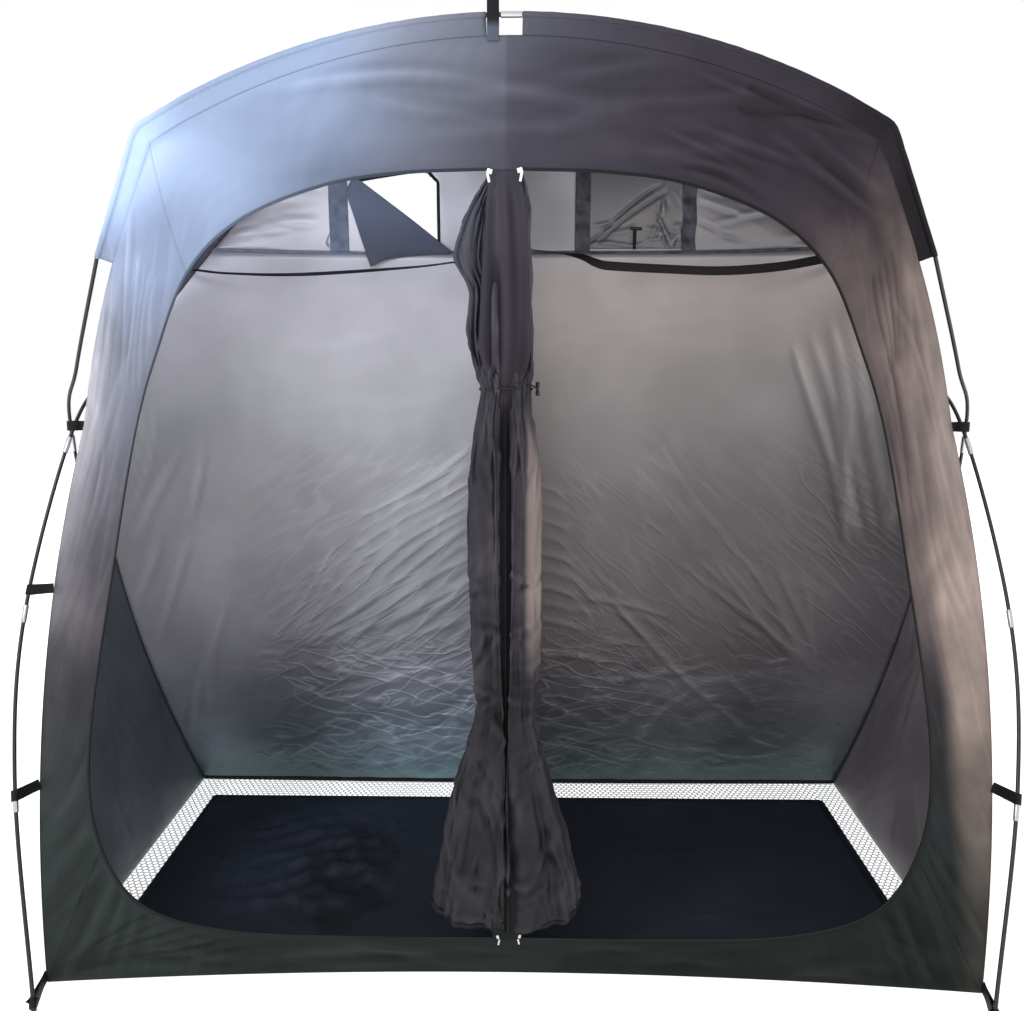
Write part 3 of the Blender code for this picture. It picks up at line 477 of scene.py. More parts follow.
def cloth_marks(points):
    """What the cloth's materials read at each point: the daylight in it and where it is creased.

    The haze lies round the upper left corner of the front and pales with distance. Each side seam has
    a band where light comes through a single layer. Painted light on the rear wall is brightest in the
    upper left room.
    """
    x, y, z = points[..., 0], points[..., 1], points[..., 2]
    ahead, behind = fade(y, 0.0, -0.01), fade(y, 0.0, 0.01)
    left, right = fade(x, 0.0, -0.02), fade(x, -0.02, 0.0)
    from_seam = seam_point(np.clip(z, 0.0, SHOULDER_HEIGHT))[0] - np.abs(x)
    haze = level_of(HAZE_ACROSS, x - 0.7 * (z - 1.9)) * level_of(HAZE_UP, z)
    haze = haze + 0.36 * left * np.exp(-((from_seam + 0.03) / 0.075) ** 2) * fade(z, 1.64, 1.76)
    haze = haze * ahead * (1 - 0.3 * fade(x, -0.016, -0.006))
    corner = np.hypot(x - HAZE_CENTRE[0], z - HAZE_CENTRE[1])
    pale = np.maximum(fade(corner, 0.45, 0.8), fade(z, 1.62, 1.38))
    width = 0.085 + 0.025 * np.exp(-((z - 1.17) / 0.1) ** 2) - 0.015 * fade(z, 1.33, 1.43)
    left_glow = (0.03 * fade(z, 0.58, 0.82) * fade(z, 1.45, 1.22) + level_of(LEFT_BAND, z)
        * np.exp(-(from_seam / width) ** 2))
    right_glow = (0.12 * fade(z, 0.62, 0.95) * fade(z, 1.78, 1.45) * fade(from_seam, 0.36, 0.17)
        + level_of(RIGHT_BAND, z) * fade(from_seam - level_of(RIGHT_REACH, z), 0.025, -0.045))
    # Light painted on the lining of each room, by height and across the wall
    gleam_left = level_of(LEFT_PAINTED_LIGHT, z) * level_of(PAINTED_LIGHT_ACROSS, x)
    gleam_left = gleam_left * (1 + fade(z, 0.62, 0.25) * (0.55 * fade(x, -0.75, -0.28) - 0.1))
    above = fade(z, 1.7, 1.716)
    gleam_left = gleam_left * (1 - 0.35 * above * fade(x, -0.26, -0.21))
    gleam_right = level_of(RIGHT_PAINTED_LIGHT, z) * (1 - 0.26 * fade(x, 0.3, 0.8) * fade(z, 1.45, 1.0))
    gleam_right = gleam_right * (1 - 0.2 * np.exp(-((x - 0.72) / 0.1) ** 2) * fade(z, 1.25, 1.4))
    gleam_right = gleam_right * (1 - 0.2 * fade(x, 0.22, 0.42) * fade(z, 1.58, 1.66) * (1 - above))
    gleam_right = gleam_right * (1 + 0.5 * fade(x, 0.25, 0.55) * fade(z, 0.52, 0.32))
    gleam_right = gleam_right * (1 - above * (0.18 + 0.3 * fade(x, 0.2, 0.6)))
    crushed_left = fade(z, 0.6, 0.36) * fade(z, 0.02, 0.08) * (0.15 + 0.85 * fade(x, -0.88, -0.6))
    crushed_right = fade(z, 0.62, 0.36) * fade(z, 0.02, 0.08) * (0.35 + 0.65 * fade(x, 0.55, 0.2))
    rising = (behind * left * fade(z, 0.28, 0.44) * fade(z, 1.24, 0.98) * fade(x, -0.95, -0.58) + ahead
        * fade(x, -0.6, -0.72) * fade(z, 1.78, 1.6))
    falling = (behind * right * fade(z, 0.3, 0.44) * fade(z, 1.26, 1.02) * fade(x, 0.06, 0.22) + ahead
        * fade(x, 0.6, 0.74) * fade(z, 1.8, 1.66))
    return {
        "haze": haze * (1 - pale), "pale_haze": haze * pale,
        "left_glow": ahead * left * left_glow, "right_glow": ahead * right * right_glow,
        "gleam": behind * (left * gleam_left + right * gleam_right) + (1 - behind), "shade": np.zeros_like(x),
        "rising": rising, "falling": falling,
        "level": behind * (left * crushed_left + right * crushed_right),
    }


def put_attribute(piece, name, values):
    layer = piece.data.attributes.get(name) or piece.data.attributes.new(name, "FLOAT", "POINT")
    layer.data.foreach_set("value", np.ascontiguousarray(values, dtype=np.float32).ravel())


def sheet_piece(name, points, heights=None, outside=None, hole=None, ends=0.03, rims=0.03, cloths=None,
        **changed):
    """A two-sided sheet of cloth on a grid of points, pushed out by heights.

    The heights fade over the distance ends at the first and last column, and over rims at the first
    and last row. Any of the cloth's marks can be changed by name. cloths are the makers of the outer
    and inner finish, which are charcoal and silver if none are given.
    """
    finishes = [finish(maker) for maker in cloths or (charcoal_polyester, silver_coating)]
    points = np.asarray(points, float)
    normals = unit(np.cross(np.gradient(points, axis=1), np.gradient(points, axis=0)))
    if outside is not None and np.sum(normals @ np.asarray(outside, float)) < 0:
        points, normals = points[:, ::-1], -normals[:, ::-1]
        heights = None if heights is None else heights[:, ::-1]
        hole = None if hole is None else hole[:, ::-1]
        changed = {key: value[:, ::-1] if np.ndim(value) else value for key, value in changed.items()}
    rows, columns = points.shape[:2]
    across = np.linalg.norm(np.diff(points, axis=1), axis=-1)
    across = np.concatenate([np.zeros((rows, 1)), np.cumsum(across, axis=1)], axis=1)
    up = np.linalg.norm(np.diff(points, axis=0), axis=-1)
    up = np.concatenate([np.zeros((1, columns)), np.cumsum(up, axis=0)], axis=0)
    marks = cloth_marks(points)
    for key, value in changed.items():
        marks[key] = np.broadcast_to(value, (rows, columns))
    marks["crest"] = np.zeros((rows, columns))
    if heights is not None:
        crest = np.array(heights)
        if ends:
            crest = crest * fade(np.minimum(across, across[:, -1:] - across), 0.0, ends)
        if rims:
            crest = crest * fade(np.minimum(up, up[-1:] - up), 0.0, rims)
        marks["crest"] = crest / CREST
        points = points + normals * crest[..., None]
    index = np.arange(rows * columns).reshape(rows, columns)
    quads = stacked(index[:-1, :-1], index[:-1, 1:], index[1:, 1:], index[1:, :-1])
    quads = quads[~hole] if hole is not None else quads.reshape(-1, 4)
    piece = mesh_piece(name, points, quads.reshape(-1, 4).tolist(), finishes, uv=stacked(across, up))
    for attribute, values in marks.items():
        put_attribute(piece, attribute, values)
    if hole is not None:
        with edited(piece.data) as bm:
            bmesh.ops.delete(bm, geom=[v for v in bm.verts if not v.link_faces], context="VERTS")
    shell = piece.modifiers.new("cloth thickness", "SOLIDIFY")
    shell.thickness = bpy.context.scene.tent_sizes.cloth
    shell.offset = 0.0
    shell.material_offset = 1
    return piece


def sweep_piece(name, route, across, profile, maker, nodes=()):
    """A band along a route. across is the direction of its width; the profile is a ring of
    (across, outward) distances. maker makes its finish."""
    route = np.asarray(route, float)
    along = tangents(route)
    across = np.broadcast_to(np.asarray(across, float), route.shape)
    across = unit(across - along * np.sum(along * across, axis=-1, keepdims=True))
    outward = np.cross(along, across)
    profile = np.asarray(profile, float)
    points = (route[:, None] + across[:, None] * profile[None, :, :1] + outward[:, None]
        * profile[None, :, 1:])
    rows, corners = len(route), len(profile)
    index = np.arange(rows * corners).reshape(rows, corners)
    after = np.roll(index, -1, axis=1)
    quads = stacked(index[:-1], after[:-1], after[1:], index[1:]).reshape(-1, 4)
    faces = quads.tolist() + [index[0].tolist()[::-1], index[-1].tolist()]
    round_it = travelled(np.vstack([profile, profile[:1]]))[:-1]
    uv = stacked(round_it[None, :], travelled(route)[:, None])
    piece = mesh_piece(name, points, faces, [finish(maker)], uv=uv)
    with edited(piece.data) as bm:
        bmesh.ops.recalc_face_normals(bm, faces=bm.faces)
    piece.data.shade_smooth()
    piece.data.set_sharp_from_angle(angle=math.radians(50))
    return settle(piece, nodes)


def webbing_profile(width, thickness):
    """Ring of a woven strap with rounded selvedges and a faintly thicker middle."""
    half, deep = width / 2, thickness / 2
    top = [(-half, 0.0), (-half * 0.97, deep * 0.7), (-half * 0.88, deep), (0.0, deep * 1.08),
        (half * 0.88, deep), (half * 0.97, deep * 0.7), (half, 0.0)]
    return top + [(a, -b) for a, b in reversed(top[1:-1])]


def round_profile(radius, corners=12):
    turn = np.arange(corners) * 2 * np.pi / corners
    return stacked(radius * np.cos(turn), radius * np.sin(turn))


def add_node(material, kind, inputs=(), out=0, **settings):
    """One output of a new shader node, whose kind may be followed by its operation.

    An input is a value or another node's output. A list fills the first inputs in their order.
    """
    kind, _, operation = kind.partition(" ")
    node = material.node_tree.nodes.new("ShaderNode" + kind)
    if operation:
        node.operation = operation
    for name, value in settings.items():
        setattr(node, name, value)
    for name, value in inputs.items() if isinstance(inputs, dict) else enumerate(inputs):
        socket = node.inputs[name]
        if isinstance(value, bpy.types.NodeSocket):
            material.node_tree.links.new(value, socket)
        else:
            socket.default_value = (*value, 1.0) if socket.type == "RGBA" else value
    return node.outputs[out]


BLEND = {"out": 2, "data_type": "RGBA"}


def new_material(name, roughness, **sockets):
    """A material with its shader's constant values, the function that adds nodes to it, and its own
    coordinates."""
    material = bpy.data.materials.new(name)
    material.use_nodes = True
    for socket, value in {"Roughness": roughness, **sockets}.items():
        socket = material.node_tree.nodes["Principled BSDF"].inputs[socket.replace("_", " ")]
        socket.default_value = (*value, 1.0) if socket.type == "RGBA" else value
    node = partial(add_node, material)
    return material, node, node("TexCoord", out="Object")


def linked(material, relief=None, **sockets):
    """Links outputs to the shader. relief is a height output with its strength and depth."""
    if relief:
        sockets["Normal"] = add_node(material, "Bump", dict(zip(("Height", "Strength", "Distance"), relief)))
    for socket, value in sockets.items():
        shader = material.node_tree.nodes["Principled BSDF"]
        material.node_tree.links.new(value, shader.inputs[socket.replace("_", " ")])
    return material


def crease_lines(node, place, turn, pitch, run, thin):
    """Fine straight creases in the wall's plane: 1 along a line and 0 between.

    They rise at an angle in degrees, lie about a pitch apart and are run times as long as that. thin
    is the share of the pitch that a line takes up.
    """
    turned = node("VectorRotate", {"Vector": place, "Angle": math.radians(turn)}, rotation_type="Y_AXIS")
    drawn = node("VectorMath MULTIPLY", [turned, (1.0 / run, 0.3, 1.0)])
    noise = node("TexNoise", {"Vector": drawn, "Scale": 0.7 / pitch, "Detail": 1.0, "Distortion": 0.25})
    level = node("Math SUBTRACT", [noise, 0.5])
    away = node("Math ABSOLUTE", [level])
    return node("MapRange", [away, 0.0, thin * 0.25, 1.0, 0.0], interpolation_type="SMOOTHSTEP")


def marked_sum(node, parts):
    """Sum of patterns, each scaled by an attribute of the cloth and a number."""
    total = 0.0
    for pattern, attribute, scale in parts:
        amount = node("Attribute", out="Fac", attribute_name=attribute)
        amount = node("Math MULTIPLY", [amount, scale])
        total = node("Math MULTIPLY_ADD", [pattern, amount, total])
    return total


def charcoal_polyester():
    """Woven polyester taffeta, dyed charcoal: a dull cloth with a faint sheen, crinkled by packing.

    It shows lighter beside the side seams and at the upper left, where daylight comes through it.
    """
    tones = bpy.context.scene.tent_colours
    material, node, place = new_material("charcoal polyester taffeta", 0.55, Sheen_Weight=0.02,
        Sheen_Roughness=0.4, Specular_IOR_Level=0.12)
    x, z = (node("SeparateXYZ", [place], axis) for axis in (0, 2))
    # Painted shade: the cloth near the ground darker towards the right
    shade = node("MapRange", [x, -0.5, 0.4, 1.0, 0.55])
    low = node("VectorMath SCALE", {0: tones.cloth_low, "Scale": shade})
    height = node("MapRange", [z, 0.15, 0.95], interpolation_type="SMOOTHSTEP")
    body = node("Mix", {0: height, 6: low, 7: tones.cloth}, **BLEND)
    # Uneven dye and rubbed patches, about 120 mm across
    cloud = node("TexNoise", {"Vector": place, "Scale": 8.0, "Detail": 3.0})
    brightness = node("MapRange", [cloud, 0.3, 0.7, 0.84, 1.14])
    body = node("VectorMath SCALE", {0: body, "Scale": brightness})
    # Daylight through the cloth, patchy beside the seams where the layers behind it lie close
    patchy = node("MapRange", [cloud, 0.35, 0.65, 0.78, 1.18])
    for attribute, tone in (("haze", tones.haze), ("pale_haze", tones.pale_haze),
            ("left_glow", tones.left_glow), ("right_glow", tones.right_glow)):
        amount = node("Attribute", out="Fac", attribute_name=attribute)
        if attribute.endswith("glow"):
            amount = node("Math MULTIPLY", [amount, patchy])
        light = node("VectorMath SCALE", {0: tone, "Scale": amount})
        body = node("VectorMath ADD", [body, light])
    # Painted light and shade on the folds: crests and crease lines painted paler, troughs darker, less the
    # painted shade mark
    lines = marked_sum(node, ((crease_lines(node, place, 76.0, 0.04, 9.0, 0.4), "rising", 1.0),
        (crease_lines(node, place, -75.0, 0.04, 9.0, 0.4), "falling", 1.0)))
    crest = node("Attribute", out="Fac", attribute_name="crest")
    painted_shading = node("MapRange", [crest, -1.0, 1.0, 0.66, 1.34])
    painted_shading = node("Math MULTIPLY_ADD", [lines, 0.14, painted_shading])
    shade = node("Attribute", out="Fac", attribute_name="shade")
    painted_shading = node("Math SUBTRACT", [painted_shading, shade])
    body = node("VectorMath SCALE", {0: body, "Scale": painted_shading})
    # Small packing crinkles about 14 mm apart; the weave itself is too fine to show
    crinkle = node("TexNoise", {"Vector": place, "Scale": 70.0, "Detail": 4.0, "Roughness": 0.62,
        "Distortion": 0.6})
    relief = node("Math MULTIPLY_ADD", [crinkle, 0.6, lines])
    return linked(material, (relief, 0.6, 0.002), Base_Color=body)


def silver_coating():
    """Silver polyurethane coating on the inside: a soft metallic gloss with sharp fine creases.

    Painted light makes it paler high up than near the floor, lavender in the left room and browner in the
    right one, and paler on the folds that stand towards the inside and along its creases. The creases rise
    to the right in the left room, fall in the right one and lie level near the floor.
    """
    tones = bpy.context.scene.tent_colours
    material, node, place = new_material("silver polyurethane coating", 0.4, Metallic=0.25)
    x, z = (node("SeparateXYZ", [place], axis) for axis in (0, 2))
    # Painted light: paler high up than near the floor, lavender in the left room and browner in the right one
    room = node("MapRange", [x, -0.1, 0.06], interpolation_type="SMOOTHSTEP")
    high = node("Mix", {0: room, 6: tones.lining_left, 7: tones.lining_right}, **BLEND)
    low = node("Mix", {0: room, 6: tones.lining_left_low, 7: tones.lining_right_low}, **BLEND)
    height = node("MapRange", [z, 0.1, 1.3], interpolation_type="SMOOTHSTEP")
    body = node("Mix", {0: height, 6: low, 7: high}, **BLEND)
    cloud = node("TexNoise", {"Vector": place, "Scale": 6.0, "Detail": 2.0})
    brightness = node("MapRange", [cloud, 0.3, 0.7, 0.92, 1.07])
    # The light painted on the lining of each room scales its tone
    gleam = node("Attribute", out="Fac", attribute_name="gleam")
    brightness = node("Math MULTIPLY", [brightness, gleam])
    body = node("VectorMath SCALE", {0: body, "Scale": brightness})
    # Creases 20 to 30 mm apart, drawn at their real pitch
    lines = marked_sum(node, ((crease_lines(node, place, 35.0, 0.03, 5.0, 0.34), "rising", 0.4),
        (crease_lines(node, place, -42.0, 0.028, 5.0, 0.34), "falling", 0.3),
        (crease_lines(node, place, 22.0, 0.03, 3.5, 0.26), "level", 0.7),
        (crease_lines(node, place, -14.0, 0.036, 4.0, 0.2), "level", 0.9)))
    # Painted light and shade on the folds: paler where they stand towards the inside, darker where they stand
    # away, and paler along the crease lines
    crest = node("Attribute", out="Fac", attribute_name="crest")
    painted_shading = node("MapRange", [crest, 1.0, -1.5, 0.74, 1.4])
    painted_shading = node("Math MULTIPLY_ADD", [lines, 0.42, painted_shading])
    body = node("VectorMath SCALE", {0: body, "Scale": painted_shading})
    # Cooler light comes in at the windows, and the ground's green shade lies on the foot of the wall
    high_tint = node("Mix", {0: room, 6: (0.96, 0.98, 0.96), 7: (0.96, 1.08, 1.22)}, **BLEND)
    for start, end, tint in ((1.62, 1.72, high_tint), (0.42, 0.1, (0.74, 0.98, 0.97)),
            (0.13, 0.05, (0.5, 0.6, 0.58))):
        share = node("MapRange", [z, start, end])
        tint = node("Mix", {0: share, 6: WHITE, 7: tint}, **BLEND)
        body = node("VectorMath MULTIPLY", [body, tint])
    # Crinkles about 11 mm apart, sharper than on the dull side because the coating holds them
    crinkle = node("TexNoise", {"Vector": place, "Scale": 90.0, "Detail": 5.0, "Roughness": 0.6,
        "Distortion": 1.1})
    low_down = node("MapRange", [z, 1.2, 0.4, 0.15, 0.8])
    relief = node("Math MULTIPLY_ADD", [crinkle, low_down, lines])
    return linked(material, (relief, 0.8, 0.0022), Base_Color=body)


def shaded_lining():
    """The same coating on the side walls, which face each other and stay dark."""
    tones = bpy.context.scene.tent_colours
    material, node, place = new_material("silver coating of the sides", 0.48, Metallic=0.1)
    cloud = node("TexNoise", {"Vector": place, "Scale": 7.0, "Detail": 3.0})
    body = node("Mix", {0: cloud, 6: tones.side_lining_low, 7: tones.side_lining}, **BLEND)
    # Painted light: darker and greener on the left side, warmer and paler on the right
    across = node("SeparateXYZ", [place])
    room = node("MapRange", [across, -0.5, 0.5])
    tint = node("Mix", {0: room, 6: (0.66, 0.78, 0.76), 7: (1.2, 1.08, 1.0)}, **BLEND)
    body = node("VectorMath MULTIPLY", [body, tint])
    crinkle = node("TexNoise", {"Vector": place, "Scale": 80.0, "Detail": 4.0})
    return linked(material, (crinkle, 0.3, 0.002), Base_Color=body)


def door_polyester():
    """Thin uncoated polyester of the doors, gathered and crushed: purple-grey, darker low down.

    One edge of the right door lets the light of its room through.
    """
    tones = bpy.context.scene.tent_colours
    material, node, place = new_material("crushed polyester door cloth", 0.5, Sheen_Weight=0.03,
        Sheen_Roughness=0.4, Specular_IOR_Level=0.18)
    height = node("SeparateXYZ", [place], 2)
    cloud = node("TexNoise", {"Vector": place, "Scale": 9.0, "Detail": 3.0})
    tint = node("MapRange", [cloud, 0.35, 0.65])
    body = node("Mix", {0: tint, 6: tones.door_dark, 7: tones.door}, **BLEND)
    low = node("MapRange", [height, 0.45, 0.9, 0.52, 1.0])
    # Painted light and shade on the folds: paler crests, darker troughs, less the painted shade mark
    crest = node("Attribute", out="Fac", attribute_name="crest")
    painted_shading = node("MapRange", [crest, -1.0, 1.0, 0.6, 1.45])
    shade = node("Attribute", out="Fac", attribute_name="shade")
    painted_shading = node("Math SUBTRACT", [painted_shading, shade])
    brightness = node("Math MULTIPLY", [low, painted_shading])
    body = node("VectorMath SCALE", {0: body, "Scale": brightness})
    for attribute, tone in (("pale_haze", tones.pale_haze), ("right_glow", tones.right_glow)):
        amount = node("Attribute", out="Fac", attribute_name=attribute)
        light = node("VectorMath SCALE", {0: tone, "Scale": amount})
        body = node("VectorMath ADD", [body, light])
    # Crushing from the stuff sack, creases about 12 mm apart
    crinkle = node("TexNoise", {"Vector": place, "Scale": 85.0, "Detail": 4.0, "Distortion": 0.8})
    return linked(material, (crinkle, 0.55, 0.0022), Base_Color=body)


def facing_cloth():
    """Uncoated charcoal polyester sewn over the lining beside the windows and along their band."""
    material, node, place = new_material("charcoal polyester facing", 0.55, Specular_IOR_Level=0.2)
    cloud = node("TexNoise", {"Vector": place, "Scale": 30.0, "Detail": 3.0})
    tint = node("MapRange", [cloud, 0.35, 0.68])
    tones = bpy.context.scene.tent_colours
    body = node("Mix", {0: tint, 6: tones.facing, 7: tones.facing_light}, **BLEND)
    # Painted light: the blue of the haze is added to the facings in the left half
    x = node("SeparateXYZ", [place])
    left = node("MapRange", [x, 0.05, -0.05, 0.0, 0.13])
    light = node("VectorMath SCALE", {0: tones.haze, "Scale": left})
    body = node("VectorMath ADD", [body, light])
    return linked(material, (cloud, 0.4, 0.0015), Base_Color=body)


def woven_strap(name, base, pitch, roughness=0.62):
    """Black polypropylene webbing: ribs across it every few threads catch the light.

    The real ribs are 1.2 mm apart and are drawn at twice that, so that they show.
    """
    material, node, _ = new_material(name, roughness, Specular_IOR_Level=0.25)
    # Painted light: the daylight haze pales the strap where its haze mark is set
    haze = node("Attribute", out="Fac", attribute_name="haze")
    body = node("Mix", {0: haze, 6: base, 7: colour("#AFC4E4")}, **BLEND)
    place = node("UVMap", uv_map="cloth")
    ribs = node("TexWave", {"Vector": place, "Scale": 2 * math.pi / pitch / 20.0}, out="Fac",
        bands_direction="Y")
    rows = node("TexWave", {"Vector": place, "Scale": 2 * math.pi / (pitch * 1.6) / 20.0}, out="Fac",
        bands_direction="X")
    weave = node("Math MULTIPLY", [ribs, rows])
    return linked(material, (weave, 0.7, 0.0006), Base_Color=body)


def black_webbing():
    return woven_strap("black polypropylene webbing", colour("#0D0E11"), 0.0024)


def zip_tape():
    """Black nylon coil zip on woven tape: teeth every 2 mm, duller than the cord beside them."""
    return woven_strap("black nylon coil zip", colour("#08080A"), 0.004, 0.6)


def elastic_cord():
    """Braided elastic cord that ties the doors back."""
    return woven_strap("black braided elastic", colour("#232126"), 0.003, 0.7)


def fibreglass():
    """Pultruded fibreglass rod in black resin: smooth and semi-gloss with faint lengthwise streaks."""
    material, node, place = new_material("black pultruded fibreglass", 0.3, Coat_Weight=0.15,
        Coat_Roughness=0.25)
    streak = node("TexNoise", {"Vector": place, "Scale": 160.0, "Detail": 2.0})
    body = node("Mix", {0: streak, 6: colour("#08090A"), 7: colour("#1B1D1F")}, **BLEND)
    return linked(material, Base_Color=body)


def aluminium():
    """Drawn aluminium ferrule with fine scratches from the poles being pushed in and out."""
    material, node, place = new_material("drawn aluminium ferrule", 0.34, Metallic=1.0,
        Base_Color=colour("#C6C9CA"))
    scratch = node("TexNoise", {"Vector": place, "Scale": 420.0, "Detail": 3.0})
    rough = node("MapRange", {0: scratch, 3: 0.22, 4: 0.46})
    return linked(material, Roughness=rough)


def floor_cloth():
    """Coated floor cloth, near-black navy: a dull surface with soft creases and faint dust."""
    tones = bpy.context.scene.tent_colours
    material, node, place = new_material("coated navy floor cloth", 0.55, Specular_IOR_Level=0.25)
    cloud = node("TexNoise", {"Vector": place, "Scale": 5.0, "Detail": 4.0})
    body = node("Mix", {0: cloud, 6: tones.floor_low, 7: tones.floor}, **BLEND)
    # Painted highlights on the raised creases, less the floor's shade mark, which darkens some patches and
    # pales others
    crest = node("Attribute", out="Fac", attribute_name="crest")
    painted_shading = node("MapRange", [crest, 0.0, 4.0, 0.88, 1.35])
    shade = node("Attribute", out="Fac", attribute_name="shade")
    painted_shading = node("Math SUBTRACT", [painted_shading, shade])
    body = node("VectorMath SCALE", {0: body, "Scale": painted_shading})
    crinkle = node("TexNoise", {"Vector": place, "Scale": 55.0, "Detail": 4.0})
    return linked(material, (crinkle, 0.3, 0.002), Base_Color=body)


def mesh_cloth():
    """Knitted white polyester drain mesh: thin matt threads that glow faintly with the ground's light."""
    material, node, place = new_material("knitted polyester drain mesh", 0.75, Emission_Color=WHITE,
        Emission_Strength=0.12)
    grime = node("TexNoise", {"Vector": place, "Scale": 60.0, "Detail": 2.0})
    body = node("Mix", {0: grime, 6: colour("#D3D7D6"), 7: colour("#EEF1F0")}, **BLEND)
    return linked(material, Base_Color=body)


def moulded_plastic(name, base, roughness):
    """Moulded nylon or acetal fitting with a fine spark-eroded grain."""
    material, node, place = new_material(name, roughness, Base_Color=base)
    grain = node("TexNoise", {"Vector": place, "Scale": 900.0, "Detail": 1.0})
    return linked(material, (grain, 0.15, 0.0003))


def black_nylon():
    return moulded_plastic("black moulded nylon", colour("#0E0F10"), 0.42)


def white_acetal():
    return moulded_plastic("white moulded acetal", colour("#E9EAEA"), 0.35)


def pale_floor():
    """Matt white studio floor, lit through from below so that it stays white under the tent."""
    glow = bpy.context.scene.tent_colours.floor_glow
    return new_material("matt white studio floor", 0.9, Base_Color=colour("#F2F2F2"), Emission_Color=WHITE,
        Emission_Strength=glow)[0]


def finish(maker):
    """The material that a maker function gives, made once."""
    if maker.__name__ not in MADE:
        MADE[maker.__name__] = maker()
    return MADE[maker.__name__]


MADE = {}


def pole_half(side, roof):
    """Half of a pole: its roof part from the peak to the sleeve's end, and its leg to the ground."""
    spread_out = CROSSING_SPREAD if roof == FRONT else -CROSSING_SPREAD
    flip = np.array([side, roof, 1.0])
    x = np.unique(np.concatenate([np.linspace(0.0, ARCH_STATIONS[-1], 60), [PEAK_NOTCH[side]]]))
    heights = arch_height(x, ELBOW[0], ELBOW[2], POLE_PEAK)
    arch = stacked(x, ROOF_HALF_DEPTH, heights) * flip
    elbow = np.array(ELBOW) * flip
    sleeve_end = np.array(SLEEVE_END) * flip
    incoming, outgoing = unit(elbow - arch[-1]), unit(sleeve_end - elbow)
    reach = ELBOW_RADIUS * math.tan(math.acos(incoming @ outgoing) / 2)
    start, end = elbow - incoming * reach, elbow + outgoing * reach
    part = np.linspace(0.0, 1.0, 9)[:, None]
    near, far = start + (elbow - start) * part, elbow + (end - elbow) * part
    bend = near + (far - near) * part
    run = end + (sleeve_end - end) * np.linspace(0.0, 1.0, 22)[1:, None]
    shifts = (spread_out * 0.5, spread_out, 0.0, 0.0)
    legs = [(px + shift, py, pz) for (px, py, pz), shift in zip(LEG_ROUTE, shifts)]
    leg = curve_through(np.array([SLEEVE_END, *legs, FOOT]) * flip, 16)
    leg[0] += unit(leg[1] - leg[0]) * POLE_JOINT_GAP
    return np.vstack([arch, bend, run]), leg


def point_along(route, distance):
    """The point at a distance along a route, and the route's direction there."""
    lengths = travelled(route)
    point = np.array([np.interp(distance, lengths, route[:, axis]) for axis in range(3)])
    index = min(int(np.searchsorted(lengths, distance)), len(route) - 1)
    return point, unit(route[index] - route[max(index - 1, 0)])


def point_at_height(route, height):
    for a, b in zip(route, route[1:]):
        if (a[2] - height) * (b[2] - height) <= 0:
            part = (height - a[2]) / (b[2] - a[2])
            return a + (b - a) * part, unit(a - b)
    raise ValueError("no such height on the route")


def doorway_edge(side, first, last):
    """Wall places along one side's doorway edge, between two corners of its outline."""
    outline = curve_through(DOOR_OUTLINE, EDGE_STEPS)[first * EDGE_STEPS:last * EDGE_STEPS + 1]
    return np.stack(wall_place(STRIP_MIDDLE + side * outline[:, 0], outline[:, 1]), axis=1)


def wall_grid(edge, border, rows, side=FRONT):
    """Points between a doorway's edge and the wall's border, both given as wall places."""
    part = np.linspace(0.0, 1.0, rows + 1)[:, None, None]
    places = edge[None] + (border - edge)[None] * part
    return wall_point(places[..., 0], places[..., 1], side)


def edge_parts(places):
    lengths = travelled(places)
    return lengths / lengths[-1]


# Fans of folds in the outer margins of the front wall, and single dark folds of its header
FRONT_FANS = (
    (((-0.845, 1.65), (-0.79, 1.6)), ((-0.888, 1.31), (-0.84, 1.33)), 4, 0.005, 0.0045),
    (((-0.87, 1.22), (-0.78, 1.34)), ((-0.935, 0.95), (-0.88, 0.92)), 6, 0.005, 0.005),
    (((-0.91, 0.98), (-0.835, 0.96)), ((-0.935, 0.74), (-0.885, 0.72)), 4, 0.0045, 0.004),
    (((0.798, 1.6), (0.845, 1.66)), ((0.85, 1.36), (0.885, 1.38)), 4, 0.005, -0.006),
    (((0.8, 1.25), (0.85, 1.42)), ((0.86, 1.08), (0.93, 1.04)), 5, 0.005, -0.006),
    (((0.833, 1.065), (0.865, 1.05)), ((0.893, 0.79), (0.925, 0.84)), 4, 0.0045, -0.005),
    (((0.893, 0.8), (0.935, 0.78)), ((0.955, 0.5), (1.0, 0.5)), 5, 0.005, 0.0055),
    (((0.915, 0.52), (0.955, 0.5)), ((0.985, 0.22), (1.02, 0.25)), 5, 0.005, 0.005),
    (((0.885, 0.32), (0.93, 0.34)), ((1.01, 0.045), (1.04, 0.07)), 5, 0.005, 0.0055),
    (((0.7, 0.15), (0.8, 0.175)), ((0.96, 0.025), (1.01, 0.03)), 4, 0.005, 0.0045),
    (((-1.03, 0.02), (-1.0, 0.012)), ((-0.8, 0.165), (-0.6, 0.07)), 6, 0.005, -0.005),
)
HEADER_FOLDS = (
    ((0.49, 1.972), (0.6, 1.928), 0.011, -0.008), ((0.58, 1.93), (0.68, 1.906), 0.009, -0.006),
    ((0.47, 1.926), (0.62, 1.911), 0.01, -0.007), ((0.6, 1.913), (0.76, 1.88), 0.01, -0.008),
)


